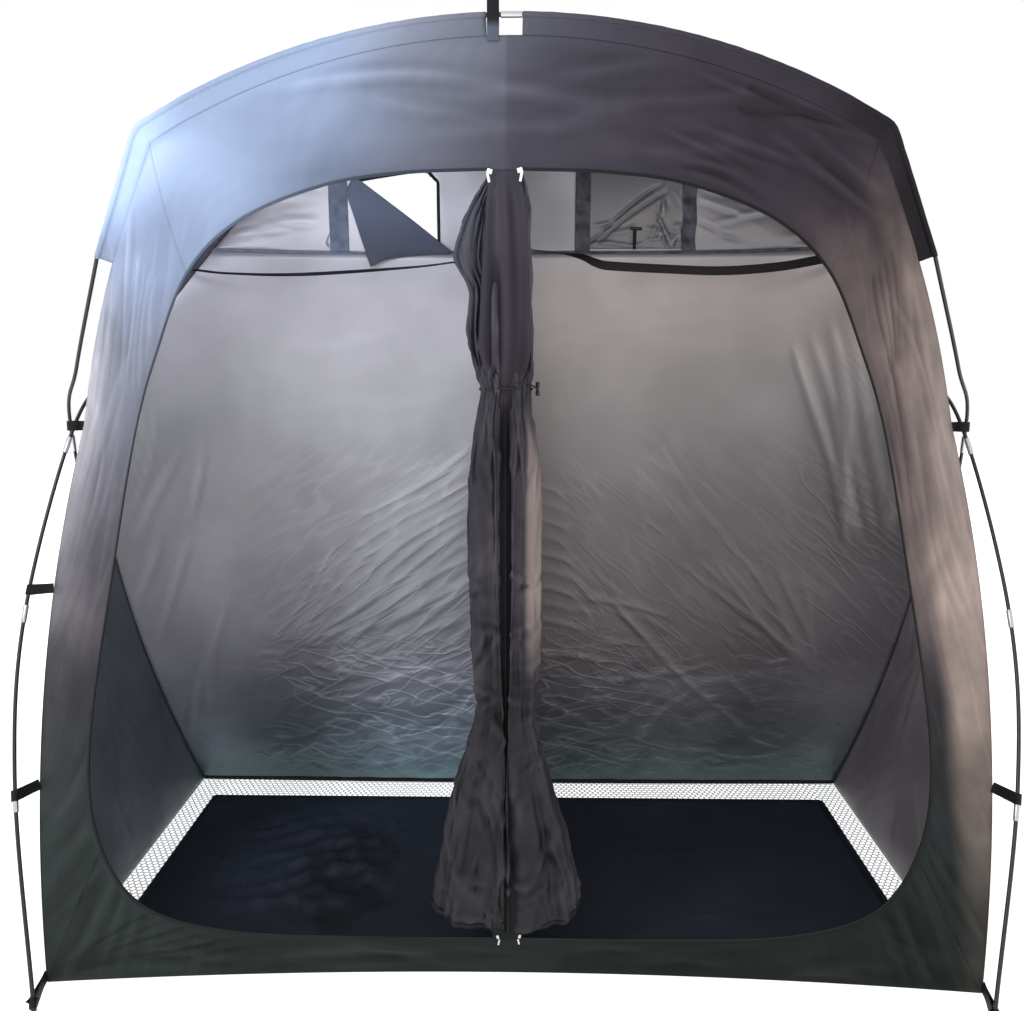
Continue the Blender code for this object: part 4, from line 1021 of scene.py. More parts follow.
def front_wrinkles(points, seed):
    """Creases of the front wall: long folds down both sides, drawn towards the doorway's corners."""
    x, z = points[..., 0], points[..., 2]
    families = [(20, (-1.02, -0.78), (0.6, 1.6), (64, 84), (0.25, 0.7), (0.006, 0.011), (0.001, 0.004)),
        (20, (0.78, 1.04), (0.45, 1.6), (-84, -62), (0.25, 0.7), (0.006, 0.011), (0.001, 0.004)),
        (18, (0.4, 0.8), (1.76, 1.98), (-34, -8), (0.12, 0.4), (0.005, 0.01), (0.002, 0.006)),
        (14, (-0.7, 0.6), (1.82, 2.02), (-12, 12), (0.2, 0.5), (0.008, 0.016), (0.001, 0.003)),
        (24, (-0.95, 0.95), (0.01, 0.08), (-10, 10), (0.15, 0.45), (0.006, 0.012), (0.002, 0.004)),
        (12, (0.86, 1.02), (0.04, 0.5), (98, 128), (0.15, 0.45), (0.006, 0.012), (0.002, 0.005)),
        (12, (-1.02, -0.86), (0.04, 0.5), (52, 82), (0.15, 0.45), (0.006, 0.012), (0.002, 0.005))]
    return (creases(x, z, seed, families) + straight_folds(x, z, fan_of_folds(FRONT_FANS))
        + straight_folds(x, z, HEADER_FOLDS) + 0.002 * undulation(x, z, seed + 1, 0.3) + 0.0008
        * crumple(x, z, seed + 2, 0.05))


def make_front_wall():
    pieces = {}
    for name, first, last, border_v, rows in (("front_header", 0, HEADER_CORNER, 1.0, 54),
            ("front_sill", len(DOOR_OUTLINE) - 1, SILL_CORNER, 0.0, 20)):
        edges, borders = [], []
        for side in (LEFT, RIGHT):
            edge = doorway_edge(side, min(first, last), max(first, last))
            edge = edge if first < last else edge[::-1]
            start = abs(edge[0, 0])
            edges.append(edge[::side])
            borders.append(stacked(side * (start + (1 - start) * edge_parts(edge)), border_v)[::side])
        edge, border = (np.vstack([a, np.linspace(a[-1], b[0], 8)[1:-1], b]) for a, b in (edges, borders))
        pieces[name] = wall_grid(edge, border, rows)
    for side, label in SIDES:
        edge = doorway_edge(side, HEADER_CORNER, SILL_CORNER)
        border = stacked(float(side), 1.0 - edge_parts(edge))
        pieces[f"front_{label}_panel"] = wall_grid(edge, border, 62)
    for name, points in pieces.items():
        # The foot of the wall is turned away from the light, least so at its right end
        x, z = points[..., 0], points[..., 2]
        shade = fade(z, 0.26, 0.12) * (0.12 + 0.26 * fade(x, -0.95, -0.6) - 0.2 * fade(x, 0.8, 1.0))
        piece = sheet_piece(name + "_cloth", points, front_wrinkles(points, 11), (0, -1, 0), ends=0.0,
            shade=shade)
        settle_sheet(piece, name)


def make_centre_strip():
    """The strip between the doors: folded and proud above the tie, drawn back between them below."""
    z = np.linspace(DOOR_BOTTOM, DOOR_TOP, 190)[:, None]
    part = np.linspace(-1.0, 1.0, 34)[None, :]
    z, part = np.broadcast_arrays(z, part)
    reach = np.where(part < 0, level_of(STRIP_EDGES, z, 1), level_of(STRIP_EDGES, z, 2))
    offset = part * reach
    points = wall_at(STRIP_MIDDLE + offset, z, FRONT)
    below = fade(z, TIE_HEIGHT - 0.01, 1.24) * fade(z, 0.16, 0.34)
    above = fade(z, TIE_HEIGHT - 0.01, 1.42) * fade(z, 1.79, 1.72)
    folds = (0.0032 * np.cos(part * 5.6 + 1.2 * np.sin(4.0 * z) + 0.6) + 0.0016
        * np.cos(part * 13.0 + 2.0 * np.sin(7.0 * z)))
    split = 0.022 * np.exp(-((offset + 0.019 + 0.01 * (1.55 - z)) / 0.009) ** 2) * fade(z, 1.66, 1.52)
    curl = 0.005 * np.abs(part) ** 6
    tied = 0.002 * np.sin(offset * 700.0) * np.exp(-np.abs(z - TIE_HEIGHT) / 0.05)
    points[..., 1] += 0.028 * below - above * (0.006 + folds - split - curl) - tied
    # Pale haze only above the tie; painted shade below it, where the strip lies drawn back between the doors
    haze = cloth_marks(points)["pale_haze"] * 0.5 * fade(z, 1.3, 1.46)
    crest = (folds - split) * above
    piece = sheet_piece("front_centre_strip_cloth", points, outside=(0, -1, 0), pale_haze=haze, haze=0.0,
        shade=0.62 * fade(z, TIE_HEIGHT + 0.01, TIE_HEIGHT - 0.05))
    # The crest mark follows the strip's folds and is raised above the tie, so that light is painted on the
    # folds and the strip is painted paler above the tie
    put_attribute(piece, "crest", crest / CREST * 0.8 + 0.2 * above)
    settle_sheet(piece, "front_centre_strip")


def make_door_zips():
    """A zip round each doorway."""
    last = len(DOOR_OUTLINE) - 1
    profile = [(-0.003, 0.0), (-0.0026, 0.002), (-0.0006, 0.0024), (0.001, 0.0014), (0.0036, 0.001),
        (0.0038, 0.0002), (0.0, -0.0004)]
    for side, label in SIDES:
        places = doorway_edge(side, 0, last)
        route = wall_point(places[:, 0], places[:, 1], FRONT)
        outward = wall_normal(places[:, 0], places[:, 1], FRONT)
        along = tangents(route)
        across = unit(np.cross(along, outward))
        centre = np.array([STRIP_MIDDLE + side * 0.5, route[0, 1], 0.9])
        if np.sum((route - centre) * across) < 0:
            across = -across
        lifted = route + outward * 0.0006
        flip = np.sign(np.sum(np.cross(along, across) * outward))
        shape = [(a, n * flip) for a, n in profile]
        piece = sweep_piece(f"{label}_door_zip", lifted, across, shape, zip_tape)
        marks = cloth_marks(np.repeat(lifted, len(shape), axis=0))
        put_attribute(piece, "haze", 0.5 * (marks["haze"] + marks["pale_haze"]))


def bundle_at(z):
    table = curve_through(DOOR_BUNDLE, 4)
    return [np.interp(z, table[:, 0], table[:, column]) for column in (1, 2, 3)]


def door_sections(side, z):
    """One door's cross section at each height: pleats behind, and an outer turn round them.

    Distances are measured outwards from the strip's middle and inwards from the front wall.
    """
    left, right, depth = bundle_at(z)
    reach = (right - STRIP_MIDDLE) if side == RIGHT else (STRIP_MIDDLE - left)
    tied = np.exp(-np.abs(z - TIE_HEIGHT) / 0.05)
    above = fade(z, TIE_HEIGHT + 0.01, TIE_HEIGHT + 0.09)
    strip = level_of(STRIP_EDGES, z, 1 if side == LEFT else 2)
    clear = 0.011 - 0.004 * tied
    pleats = [(0.03 + 0.0 * z, 0.004)]
    for index, part in enumerate(np.linspace(0.16, 0.84, DOOR_PLEATS)):
        away = depth - clear if index % 2 else clear
        pleats.append((reach * part, away + 0.002 * np.sin(5.0 * z + index)))
    pleats += [(reach * 0.55, depth - clear * 0.62), (reach * 0.1, depth - clear * 0.5)]
    # The doors part below the tie, close at the waist and lie behind the strip above the tie
    parted = level_of(DOOR_GAP, z) + 0.0015 * np.sin(6.0 * z)
    tucked = strip + 0.004 - 0.014 * fade(z, 1.79, 1.7)
    end = parted * (1 - above) + tucked * above
    end = np.minimum(end, reach - 0.02)
    front = -0.006 * (1 - above) + 0.006 * above
    outer = [(reach * 0.04, depth - clear * 0.1), (reach * 0.45, depth), (reach * 0.82, depth * 0.92),
        (reach * 0.98, depth * 0.62), (reach, depth * 0.36), (reach * 0.94, depth * 0.06 + front),
        (np.maximum(reach * 0.7, end + 0.012), front), (np.maximum(reach * 0.42, end + 0.006), front * 1.3),
        (end, front + 0.003), (end + 0.001, front + 0.01)]
    hidden, shown = (curve_through([stacked(*place).ravel() for place in places], steps).reshape(-1, len(z),
        2) for places, steps in ((pleats, 3), (outer, 11)))
    # Pleats of the outer turn, pressed inwards from its outline
    t = np.linspace(0.0, 1.0, len(shown))[:, None]
    normal = np.gradient(shown, axis=0)
    normal = unit(stacked(normal[..., 1], -normal[..., 0]))
    phase = 0.0 if side == LEFT else 2.1
    z_row, tied, skirt = z[None], tied[None], fade(z, 0.6, 0.26)[None]
    body = (1 - skirt) * (1 - tied)
    rim = 1 - 0.75 * np.exp(-((t - 0.46) / 0.07) ** 2)

    def wave(count, sway, pace, shift=0.0):
        return np.sin(2 * np.pi * (t * count + sway * np.sin(pace * z_row + shift)) + phase)

    ripple = (0.0042 * tied * (0.5 + 0.5 * wave(15, 0.3, 9)) + 0.0085 * body * rim
        * (0.5 + 0.5 * wave(2.7, 0.2, 3.1, phase)) + 0.0026 * body * wave(7.3, 0.35, 5.3) + 0.017 * skirt
        * rim * (0.5 + 0.5 * wave(5.2, 0.3, 4.0)) + 0.0035 * skirt * rim * wave(11.0, 0.4, 7.0))
    ripple = ripple * fade(t, 0.0, 0.12) * fade(t, 1.0, 0.95)
    beside = np.exp(-((shown[..., 0] - strip - 0.008) / 0.009) ** 2) * above * (t > 0.5) * (side == LEFT)
    shown = shown + normal * ripple[..., None]
    shown[..., 1] += 0.022 * beside
    return np.concatenate([hidden, shown], axis=0), len(hidden)


# Gap between the doors: height, and its half width
DOOR_GAP = ((0.1, 0.001), (0.46, 0.001), (0.62, 0.009), (0.72, 0.014), (0.9, 0.018), (1.25, 0.018),
    (1.31, 0.012), (1.38, 0.012))
DOOR_PLEATS = 12


def make_doors():
    levels = np.linspace(0.098, 1.793, 300)
    rows = 186
    spacing = np.concatenate([np.linspace(1.0, 0.5, 76, endpoint=False), np.linspace(0.5, 0.0, 110)])
    for side, label in SIDES:
        sections, shown_from = door_sections(side, levels)
        reach = np.max(sections[..., 0], axis=0)
        columns = sections.shape[0]
        share = sections[:, 12, 0] / reach[12]
        hem = 0.1 + 0.06 * np.clip(share, 0, 1) ** 3
        z = hem[None, :] + (levels[-1] - hem[None, :]) * spacing[:, None]
        p, q = (stacked(*(np.interp(z[:, column], levels, sections[column, :, axis]) for column
            in range(columns))) for axis in (0, 1))
        front = wall_at(STRIP_MIDDLE, z, FRONT)[..., 1]
        points = stacked(STRIP_MIDDLE + side * p, front + q, z)
        glow = 0.16 * fade(z, 0.66, 0.9) * fade(z, 1.34, 1.1) * fade(p, 0.038, 0.056)
        glow = glow * fade(q, 0.03, 0.012) * (side == RIGHT)
        haze = 0.035 * fade(z, TIE_HEIGHT + 0.02, 1.5) + 0.018 * fade(z, 1.6, 1.7)
        # The waist lies in shadow, one dark fold runs down the skirt and the right edge catches light
        fold_at = -0.002 - 0.02 * fade(z, 0.42, 0.33)
        shade = (0.55 * fade(p, 0.068, 0.04) * fade(z, 0.48, 0.58) * fade(z, 0.82, 0.7) + 0.6
            * np.exp(-((side * p - fold_at) / 0.007) ** 2) * fade(z, 0.56, 0.46) - 0.55
            * fade(p / reach[None, :].max(), 0.66, 0.8) * fade(z, 0.5, 0.4) * (side == RIGHT))
        # Creases run down the cloth, slant across the waist and fan out over the skirt
        run = p + 0.7 * q
        heights = 0.0011 * crumple(run, z, 31 + side, 0.04, stretch=0.6) + creases(run, z, 41 + side,
            [(60, (0.0, 0.2), (0.42, 0.95), (20, 160), (0.04, 0.13), (0.004, 0.008), (-0.006, 0.005)),
            (60, (0.0, 0.16), (0.8, 1.78), (78, 102), (0.1, 0.45), (0.003, 0.006), (-0.003, 0.003)),
            (26, (0.0, 0.14), (1.16, 1.33), (80, 100), (0.08, 0.2), (0.002, 0.004), (0.001, 0.004)),
            (26, (0.0, 0.14), (1.35, 1.48), (80, 100), (0.08, 0.2), (0.002, 0.004), (0.001, 0.004)),
            (30, (0.0, 0.22), (0.12, 0.5), (60, 110), (0.1, 0.35), (0.004, 0.008), (-0.005, 0.005)),
            (12, (0.0, 0.22), (0.1, 0.24), (0, 40), (0.06, 0.16), (0.004, 0.007), (0.001, 0.005))])
        if side == LEFT:
            points, heights, glow = points[:, ::-1], heights[:, ::-1], glow[:, ::-1]
            haze, shade = haze[:, ::-1], shade[:, ::-1]
        piece = sheet_piece(f"{label}_door_cloth", points, heights, ends=0.01, rims=0.01,
            cloths=[door_polyester] * 2, right_glow=glow, haze=0.0, pale_haze=haze, shade=shade)
        settle_sheet(piece, f"{label}_door")
        outer = points[:, :columns - shown_from][:, ::-1] if side == LEFT else points[:, shown_from:]
        hem_line = outer[-1, 12:] + np.array([0.0, 0.0, 0.004])
        tape = webbing_profile(0.011, 0.0022)
        sweep_piece(f"{label}_door_hem_zip", hem_line, (0, 0, 1), tape, zip_tape)


def make_door_tie():
    left, right, depth = (float(value) for value in bundle_at(TIE_HEIGHT))
    front = float(wall_at(STRIP_MIDDLE, TIE_HEIGHT, FRONT)[1])
    turn = np.linspace(np.pi / 2, np.pi * 5 / 2, 73)
    cosine, sine = np.cos(turn), np.sin(turn)
    x = (left + right) / 2 + np.sign(cosine) * np.abs(cosine) ** 0.62 * ((right - left) / 2 + 0.0028)
    y = front + depth / 2 - 0.002 + np.sign(sine) * np.abs(sine) ** 0.62 * (depth / 2 + 0.0052)
    z = TIE_HEIGHT + 0.002 * np.sin(turn * 3)
    sweep_piece("door_tie_cord", stacked(x, y, z), (0, 0, 1), round_profile(0.0021), elastic_cord,
        nodes=["door_tie"])
    low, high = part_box("door_tie_toggle")
    toggle = np.array((low + high) / 2)
    start = np.array([0.012, front - 0.008, TIE_HEIGHT + 0.016])
    middle = np.array([0.034, front - 0.01, TIE_HEIGHT + 0.014])
    route = respaced(curve_through([start, middle, toggle - np.array([0.0, 0.003, 0.0])], 10), 30)
    sweep_piece("door_toggle_cord", route, (0, 0, 1), round_profile(0.0019, 8), elastic_cord)


def make_door_toggle():
    """Barrel toggle with rounded ends and a waist that the cord ties round."""
    low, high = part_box("door_tie_toggle")
    centre = (low + high) / 2
    bpy.ops.object.select_all(action="DESELECT")
    bpy.ops.mesh.primitive_cylinder_add(vertices=24, radius=(high.x - low.x) / 2, depth=high.z - low.z,
        location=centre)
    piece = bpy.context.object
    piece.name = piece.data.name = "door_tie_barrel"
    bpy.ops.object.transform_apply(location=True, rotation=True, scale=True)
    bpy.ops.object.mode_set(mode="EDIT")
    for offset in (-0.0042, -0.003, 0.003, 0.0042):
        bpy.ops.mesh.select_all(action="SELECT")
        bpy.ops.mesh.bisect(plane_co=centre + Vector((0, 0, offset)), plane_no=(0, 0, 1))
    bpy.ops.object.mode_set(mode="OBJECT")
    for vertex in piece.data.vertices:
        if abs(vertex.co.z - centre.z) < 0.0035:
            vertex.co.x = centre.x + (vertex.co.x - centre.x) * 0.68
            vertex.co.y = centre.y + (vertex.co.y - centre.y) * 0.68
    bevel(piece, 0.0011, 3, 40)
    piece.data.materials.append(finish(black_nylon))
    settle(piece, ["door_tie_toggle"])


def make_zip_pulls():
    """Pulls of both zips: a slider body with a flat tab that hangs or leans from it."""
    places = ((-0.046, DOOR_TOP - 0.006, 1, white_acetal), (0.018, DOOR_TOP - 0.004, -1, white_acetal),
        (-0.03, DOOR_BOTTOM + 0.01, -1, aluminium), (0.02, DOOR_BOTTOM + 0.012, 1, aluminium))
    for number, (x, z, lean, maker) in enumerate(places, 1):
        top = maker is white_acetal
        wide, tall = (0.0115, 0.01) if top else (0.006, 0.009)
        tab_wide, tab_tall = (0.0055, 0.02) if top else (0.004, 0.015)
        y = float(wall_at(x, z, FRONT)[1]) - 0.012
        bpy.ops.object.select_all(action="DESELECT")
        bpy.ops.mesh.primitive_cube_add(size=1.0, location=(x, y, z), rotation=(0.0, lean * 0.3, 0.0),
            scale=(wide, 0.0045, tall))
        body = bpy.context.object
        bpy.ops.object.transform_apply(location=True, rotation=True, scale=True)
        bpy.ops.mesh.primitive_cube_add(size=1.0, rotation=(0.12, lean * -0.2, 0.0),
            location=(x - lean * 0.0025, y - 0.0025, z - tall - 0.003), scale=(tab_wide, 0.0018, tab_tall))
        tab = bpy.context.object
        bpy.ops.object.transform_apply(location=True, rotation=True, scale=True)
        body.select_set(True)
        bpy.context.view_layer.objects.active = body
        bpy.ops.object.join()
        piece = bpy.context.object
        piece.name = piece.data.name = f"zip_pull_{number}"
        bevel(piece, 0.0008, 2, 30)
        piece.data.materials.append(finish(maker))
        settle(piece)


# Fans of folds in the lining, each given by the line its folds start on, the line they end on, how
# many there are, and their half width and height
REAR_FANS = (
    (((-0.79, 0.5), (-0.68, 0.48)), ((-0.55, 0.84), (-0.4, 0.73)), 5, 0.009, 0.005),
    (((-0.5, 0.9), (-0.64, 0.49)), ((-0.12, 1.14), (-0.12, 0.85)), 8, 0.01, 0.0065),
    (((-0.58, 0.49), (-0.28, 0.6)), ((-0.12, 0.81), (-0.12, 0.7)), 4, 0.009, 0.0055),
    (((-0.38, 1.04), (-0.42, 0.95)), ((-0.2, 1.12), (-0.14, 1.09)), 3, 0.008, 0.003),
    (((0.82, 1.46), (0.98, 1.6)), ((0.99, 0.83), (1.085, 0.86)), 6, 0.009, 0.007),
    (((0.5, 0.8), (0.87, 0.76)), ((0.93, 0.42), (0.957, 0.435)), 8, 0.008, 0.0045),
    (((0.36, 1.1), (0.47, 1.17)), ((0.54, 0.86), (0.65, 0.93)), 4, 0.008, 0.003),
    (((0.06, 1.02), (0.06, 0.58)), ((0.15, 0.985), (0.22, 0.54)), 9, 0.008, 0.0035),
)
# Long folds of the rear wall as their two ends (x, z), half width and height
REAR_FOLDS = (
    ((-0.66, 0.12), (-0.5, 0.17), 0.008, 0.005), ((-0.47, 0.16), (-0.3, 0.165), 0.008, 0.005),
    ((-0.25, 0.24), (-0.1, 0.255), 0.008, 0.006), ((-0.7, 0.22), (-0.35, 0.3), 0.008, 0.004),
    ((-0.6, 0.33), (-0.16, 0.42), 0.008, 0.005), ((-0.55, 0.42), (-0.14, 0.6), 0.008, 0.004),
    ((0.2, 0.66), (0.5, 0.585), 0.008, 0.004), ((0.29, 0.635), (0.82, 0.14), 0.009, 0.005),
    ((0.38, 0.16), (0.58, 0.36), 0.009, 0.005), ((0.58, 0.36), (0.68, 0.39), 0.008, 0.004),
    ((0.68, 0.39), (0.79, 0.28), 0.008, 0.004), ((0.06, 0.46), (0.3, 0.435), 0.008, 0.005),
    ((0.07, 0.29), (0.26, 0.21), 0.008, 0.004), ((0.08, 0.42), (0.44, 0.24), 0.008, 0.003),
)


def rear_wrinkles(points, seed):
    """Creases of the rear wall: drawn from the upper middle to the lower corners, crushed low down."""
    x, z = points[..., 0], points[..., 2]
    families = [(24, (-0.62, -0.12), (0.5, 1.1), (28, 44), (0.08, 0.24), (0.007, 0.01), (0.0008, 0.003)),
        (44, (-0.8, -0.1), (0.05, 0.5), (-18, 34), (0.05, 0.2), (0.006, 0.009), (0.001, 0.005)),
        (22, (0.15, 0.8), (0.45, 1.1), (-54, -36), (0.06, 0.2), (0.007, 0.01), (0.0008, 0.0026)),
        (30, (0.02, 0.85), (0.05, 0.5), (-34, 16), (0.06, 0.22), (0.006, 0.009), (0.001, 0.004)),
        (10, (-1.1, -0.92), (0.3, 1.2), (62, 78), (0.2, 0.5), (0.006, 0.01), (0.001, 0.003)),
        (10, (-0.8, 0.9), (1.2, 1.66), (-20, 20), (0.2, 0.6), (0.01, 0.018), (0.0003, 0.001))]
    crushed = fade(z, 0.62, 0.22) * (0.25 + 0.75 * fade(np.abs(x), 0.95, 0.5))
    return (creases(x, z, seed, families) + straight_folds(x, z, REAR_FOLDS)
        + straight_folds(x, z, fan_of_folds(REAR_FANS)) + 0.0015 * undulation(x, z, seed + 2, 0.5) + 0.0046
        * crushed * crumple(x, z, seed + 3, 0.095, stretch=1.7) + 0.0012 * crushed
        * crumple(x, z, seed + 4, 0.044, stretch=1.4))


def refined(lines, steps):
    """Values between control values, with the given steps in each interval."""
    parts = [np.linspace(a, b, n, endpoint=False) for a, b, n in zip(lines, lines[1:], steps)]
    return np.concatenate(parts + [[lines[-1]]])


def make_rear_wall():
    u = np.linspace(-1.0, 1.0, 214)
    top = BAND_BOTTOM / roof_height(np.abs(u) * SHOULDER_HALF_WIDTH)
    part = refined([0.0, 0.66, 1.0], [126, 26])[:, None]
    points = wall_point(u[None], top[None] * part, REAR)
    piece = sheet_piece("rear_wall_cloth", points, -rear_wrinkles(points, 5), (0, 1, 0))
    settle_sheet(piece, "rear_wall")


def window_top(x):
    top = roof_height(np.abs(x))
    return np.minimum(WINDOW_TOP, BAND_BOTTOM + WINDOW_TOP_PART * (top - BAND_BOTTOM))


def window_ring(side, margin=0.0):
    """Corners of a window, its upper corners cut off, as (x, z)."""
    inner = WINDOW_INNER + (0.033 if side == LEFT else 0.0) - margin
    outer = WINDOW_OUTER - (0.02 if side == RIGHT else 0.0) + margin
    low = WINDOW_BOTTOM - margin
    cut = 0.035
    corners = [(inner, low), (outer, low), (outer, float(window_top(outer)) - cut + margin),
        (outer - cut, float(window_top(outer - cut)) + margin), (inner + cut, float(window_top(inner + cut))
        + margin), (inner, float(window_top(inner)) - cut + margin)]
    return [(side * x, z) for x, z in corners]


def inside_ring(x, z, ring):
    inside = np.ones_like(x, bool)
    turn = sum(a[0] * b[1] - b[0] * a[1] for a, b in zip(ring, ring[1:] + ring[:1]))
    for (ax, az), (bx, bz) in zip(ring, ring[1:] + ring[:1]):
        inside &= ((bx - ax) * (z - az) - (bz - az) * (x - ax)) * np.sign(turn) > 0
    return inside


def make_window_band():
    right = [WINDOW_INNER, 0.31, 0.42, WINDOW_OUTER, BORDER_TO_SIDE]
    coarse = []
    for x in [-x for x in reversed(right)] + [0.0] + right:
        coarse.append(stacked(*wall_place(x, [BAND_BOTTOM, WINDOW_BOTTOM, window_top(x), roof_height(x)])))
    seam_v = np.array([float(BAND_BOTTOM / roof_height(SHOULDER_HALF_WIDTH)), WINDOW_BOTTOM
        / SHOULDER_HEIGHT, BORDER_LEVEL / SHOULDER_HEIGHT, 1.0])
    coarse = np.array([stacked(-1.0, seam_v), *coarse, stacked(1.0, seam_v)]).transpose(1, 0, 2)
    column_steps = [12, 10, 10, 10, 10, 20, 20, 10, 10, 10, 10, 12]
    row_at = refined([0.0, 1.0, 2.0, 3.0], [3, 24, 14])
    column_at = refined(list(range(13)), column_steps)
    low_row = np.minimum(row_at.astype(int), 2)
    low_column = np.minimum(column_at.astype(int), 11)
    r = (row_at - low_row)[:, None, None]
    c = (column_at - low_column)[None, :, None]
    rows, cols = low_row[:, None], low_column[None, :]
    places = ((coarse[rows, cols] * (1 - c) + coarse[rows, cols + 1] * c) * (1 - r)
        + (coarse[rows + 1, cols] * (1 - c) + coarse[rows + 1, cols + 1] * c) * r)
    places[0, :, 1] = BAND_BOTTOM / roof_height(np.abs(places[0, :, 0]) * SHOULDER_HALF_WIDTH)
    points = wall_point(places[..., 0], places[..., 1], REAR)
    x, z = points[..., 0], points[..., 2]
    middle = (points[:-1, :-1] + points[1:, 1:]) / 2
    hole = np.zeros(middle.shape[:2], bool)
    clear = np.ones_like(x)
    for side in (LEFT, RIGHT):
        hole |= inside_ring(middle[..., 0], middle[..., 2], window_ring(side))
        clear[inside_ring(x, z, window_ring(side, 0.012))] = 0.0
    heights = clear * (creases(x, z, 71, [(24, (0.55, 1.0), (1.72, 1.9), (-40, 30), (0.08, 0.3),
        (0.005, 0.01), (-0.003, 0.003)), (16, (-0.95, -0.5), (1.72, 1.9), (-20, 40), (0.08, 0.3),
        (0.005, 0.01), (-0.002, 0.002))]) + 0.002 * undulation(x, z, 72, 0.25))
    piece = sheet_piece("rear_window_band_cloth", points, heights, (0, 1, 0), hole)
    settle_sheet(piece, "rear_window_band")


def rounded_ring(ring, steps):
    """A closed ring of points on the rear wall, from corners as (x, z)."""
    corners = ring + ring[:1]
    line = [np.linspace(a, b, steps, endpoint=False) for a, b in zip(corners, corners[1:])]
    line = np.vstack(line + [np.array(corners[:1])])
    return wall_at(line[:, 0], line[:, 1], REAR)


def make_window_trims():
    """Bindings round both windows, dark facings beside them, and the seam tape under the band."""
    facings = ((LEFT, "outer", 0.522, 0.056), (RIGHT, "inner", 0.194, 0.044), (RIGHT, "outer", 0.503, 0.04))
    for side, label in SIDES:
        route = rounded_ring(window_ring(side, 0.003), 16)
        inward = np.array([0.0, -1.0, 0.0])
        sweep_piece(f"{label}_window_binding", route + inward * 0.0014, np.cross(tangents(route), inward),
            webbing_profile(0.009, 0.0016), zip_tape)
    for side, name, x, width in facings:
        label = "left" if side == LEFT else "right"
        z = np.linspace(BAND_BOTTOM + 0.002, float(roof_height(x)) - 0.004, 60)
        route = wall_at(side * x, z, REAR) + inward * 0.0062
        if (side, name) == (RIGHT, "outer"):
            route[:, 0] += 0.002 * np.sin(z * 60.0)
            route[:, 1] -= 0.003 + 0.003 * np.sin(z * 110.0)
        sweep_piece(f"{label}_window_{name}_facing", route, (1, 0, 0), webbing_profile(width, 0.0014),
            facing_cloth)
    x = np.linspace(-0.93, 0.93, 200)
    route = wall_at(x, BAND_BOTTOM - 0.002, REAR) + np.array([0.0, -0.0024, 0.0])
    sweep_piece("window_band_seam", route, (0, 0, 1), webbing_profile(0.008, 0.0016), facing_cloth)


def make_window_flaps():
    x = np.linspace(WINDOW_INNER - 0.012, WINDOW_OUTER - 0.013, 72)[None, :]
    part = np.linspace(0.0, 1.0, 56)[:, None]
    top = np.minimum(WINDOW_TOP + 0.004, roof_height(x) - 0.03)
    z = WINDOW_BOTTOM - 0.008 + (top - WINDOW_BOTTOM + 0.008) * part
    x = np.broadcast_to(x, z.shape)
    points = wall_at(x, z, REAR) - np.array([0.0, 0.004, 0.0])
    heights = straight_folds(x, z, (((0.187, 1.728), (0.423, 1.906), 0.0045, 0.006),
        ((0.222, 1.728), (0.441, 1.895), 0.004, 0.005)))
    heights = heights - creases(x, z, 81, [(14, (0.4, 0.48), (1.74, 1.9), (60, 120), (0.04, 0.14),
        (0.004, 0.007), (0.001, 0.004)), (14, (0.22, 0.52), (1.73, 1.8), (-10, 24), (0.05, 0.18),
        (0.004, 0.007), (0.001, 0.003))])
    # The flap's lining takes a third of the painted light
    piece = sheet_piece("right_window_flap_cloth", points, heights, (0, 1, 0), ends=0.01, rims=0.01,
        gleam=0.33)
    settle_sheet(piece, "right_window_flap")

    # The left flap is folded over its diagonal: one half stays in the window, the other hangs in front
    sewn_line = curve_through([(-0.545, 1.9), (-0.545, 1.79), (-0.535, 1.722), (-0.205, 1.718)], 20)
    fold_line = curve_through([(-0.474, 1.93), (-0.39, 1.868), (-0.3, 1.801), (-0.188, 1.714)], 20)
    corner = (-0.43, 1.671)
    hem_line = np.vstack([np.linspace((-0.498, 1.885), corner, 34, endpoint=False),
        curve_through([corner, (-0.384, 1.693), (-0.318, 1.705), (-0.187, 1.711)], 9)[:27]])
    rise = np.linspace(0.0, 1.0, 20, endpoint=False)[:, None, None]
    fall = np.linspace(0.0, 1.0, 36)[:, None, None]
    flat = np.vstack([sewn_line[None] + (fold_line - sewn_line)[None] * rise, fold_line[None]
        + (hem_line - fold_line)[None] * fall])
    points = wall_at(flat[..., 0], flat[..., 1], REAR)
    along = np.linspace(0.0, 1.0, flat.shape[1])[None, :]
    rise, fall = rise[..., 0], fall[..., 0]
    behind = 0.0032 + 0.0 * rise * along
    ahead = (0.01 + 0.016 * np.sin(np.pi * fall * 0.6) * np.sin(np.pi * along) ** 0.7 + 0.002
        * np.sin(along * 9.0 + fall * 3.0) * fall)
    points[..., 1] -= np.vstack([behind, ahead])
    piece = sheet_piece("left_window_flap_cloth", points, cloths=(silver_coating, charcoal_polyester),
        haze=0.08 + 0.12 * fade(points[..., 2], 1.7, 1.88))
    settle_sheet(piece, "left_window_flap")

    # Loop and toggle that close the right window
    route = wall_at(0.346, np.linspace(1.722, 1.782, 20), REAR)
    route[:, 1] -= 0.009 + 0.004 * np.sin(np.linspace(0, np.pi, 20))
    sweep_piece("window_toggle_loop", route, (1, 0, 0), webbing_profile(0.009, 0.0016), black_webbing)
    bar = np.linspace((0.332, 0.0, 1.78), (0.366, 0.0, 1.779), 12)
    bar[:, 1] = route[-1, 1] - 0.004
    sweep_piece("window_toggle_bar", bar, (0, 0, 1), round_profile(0.0042, 16), black_nylon)


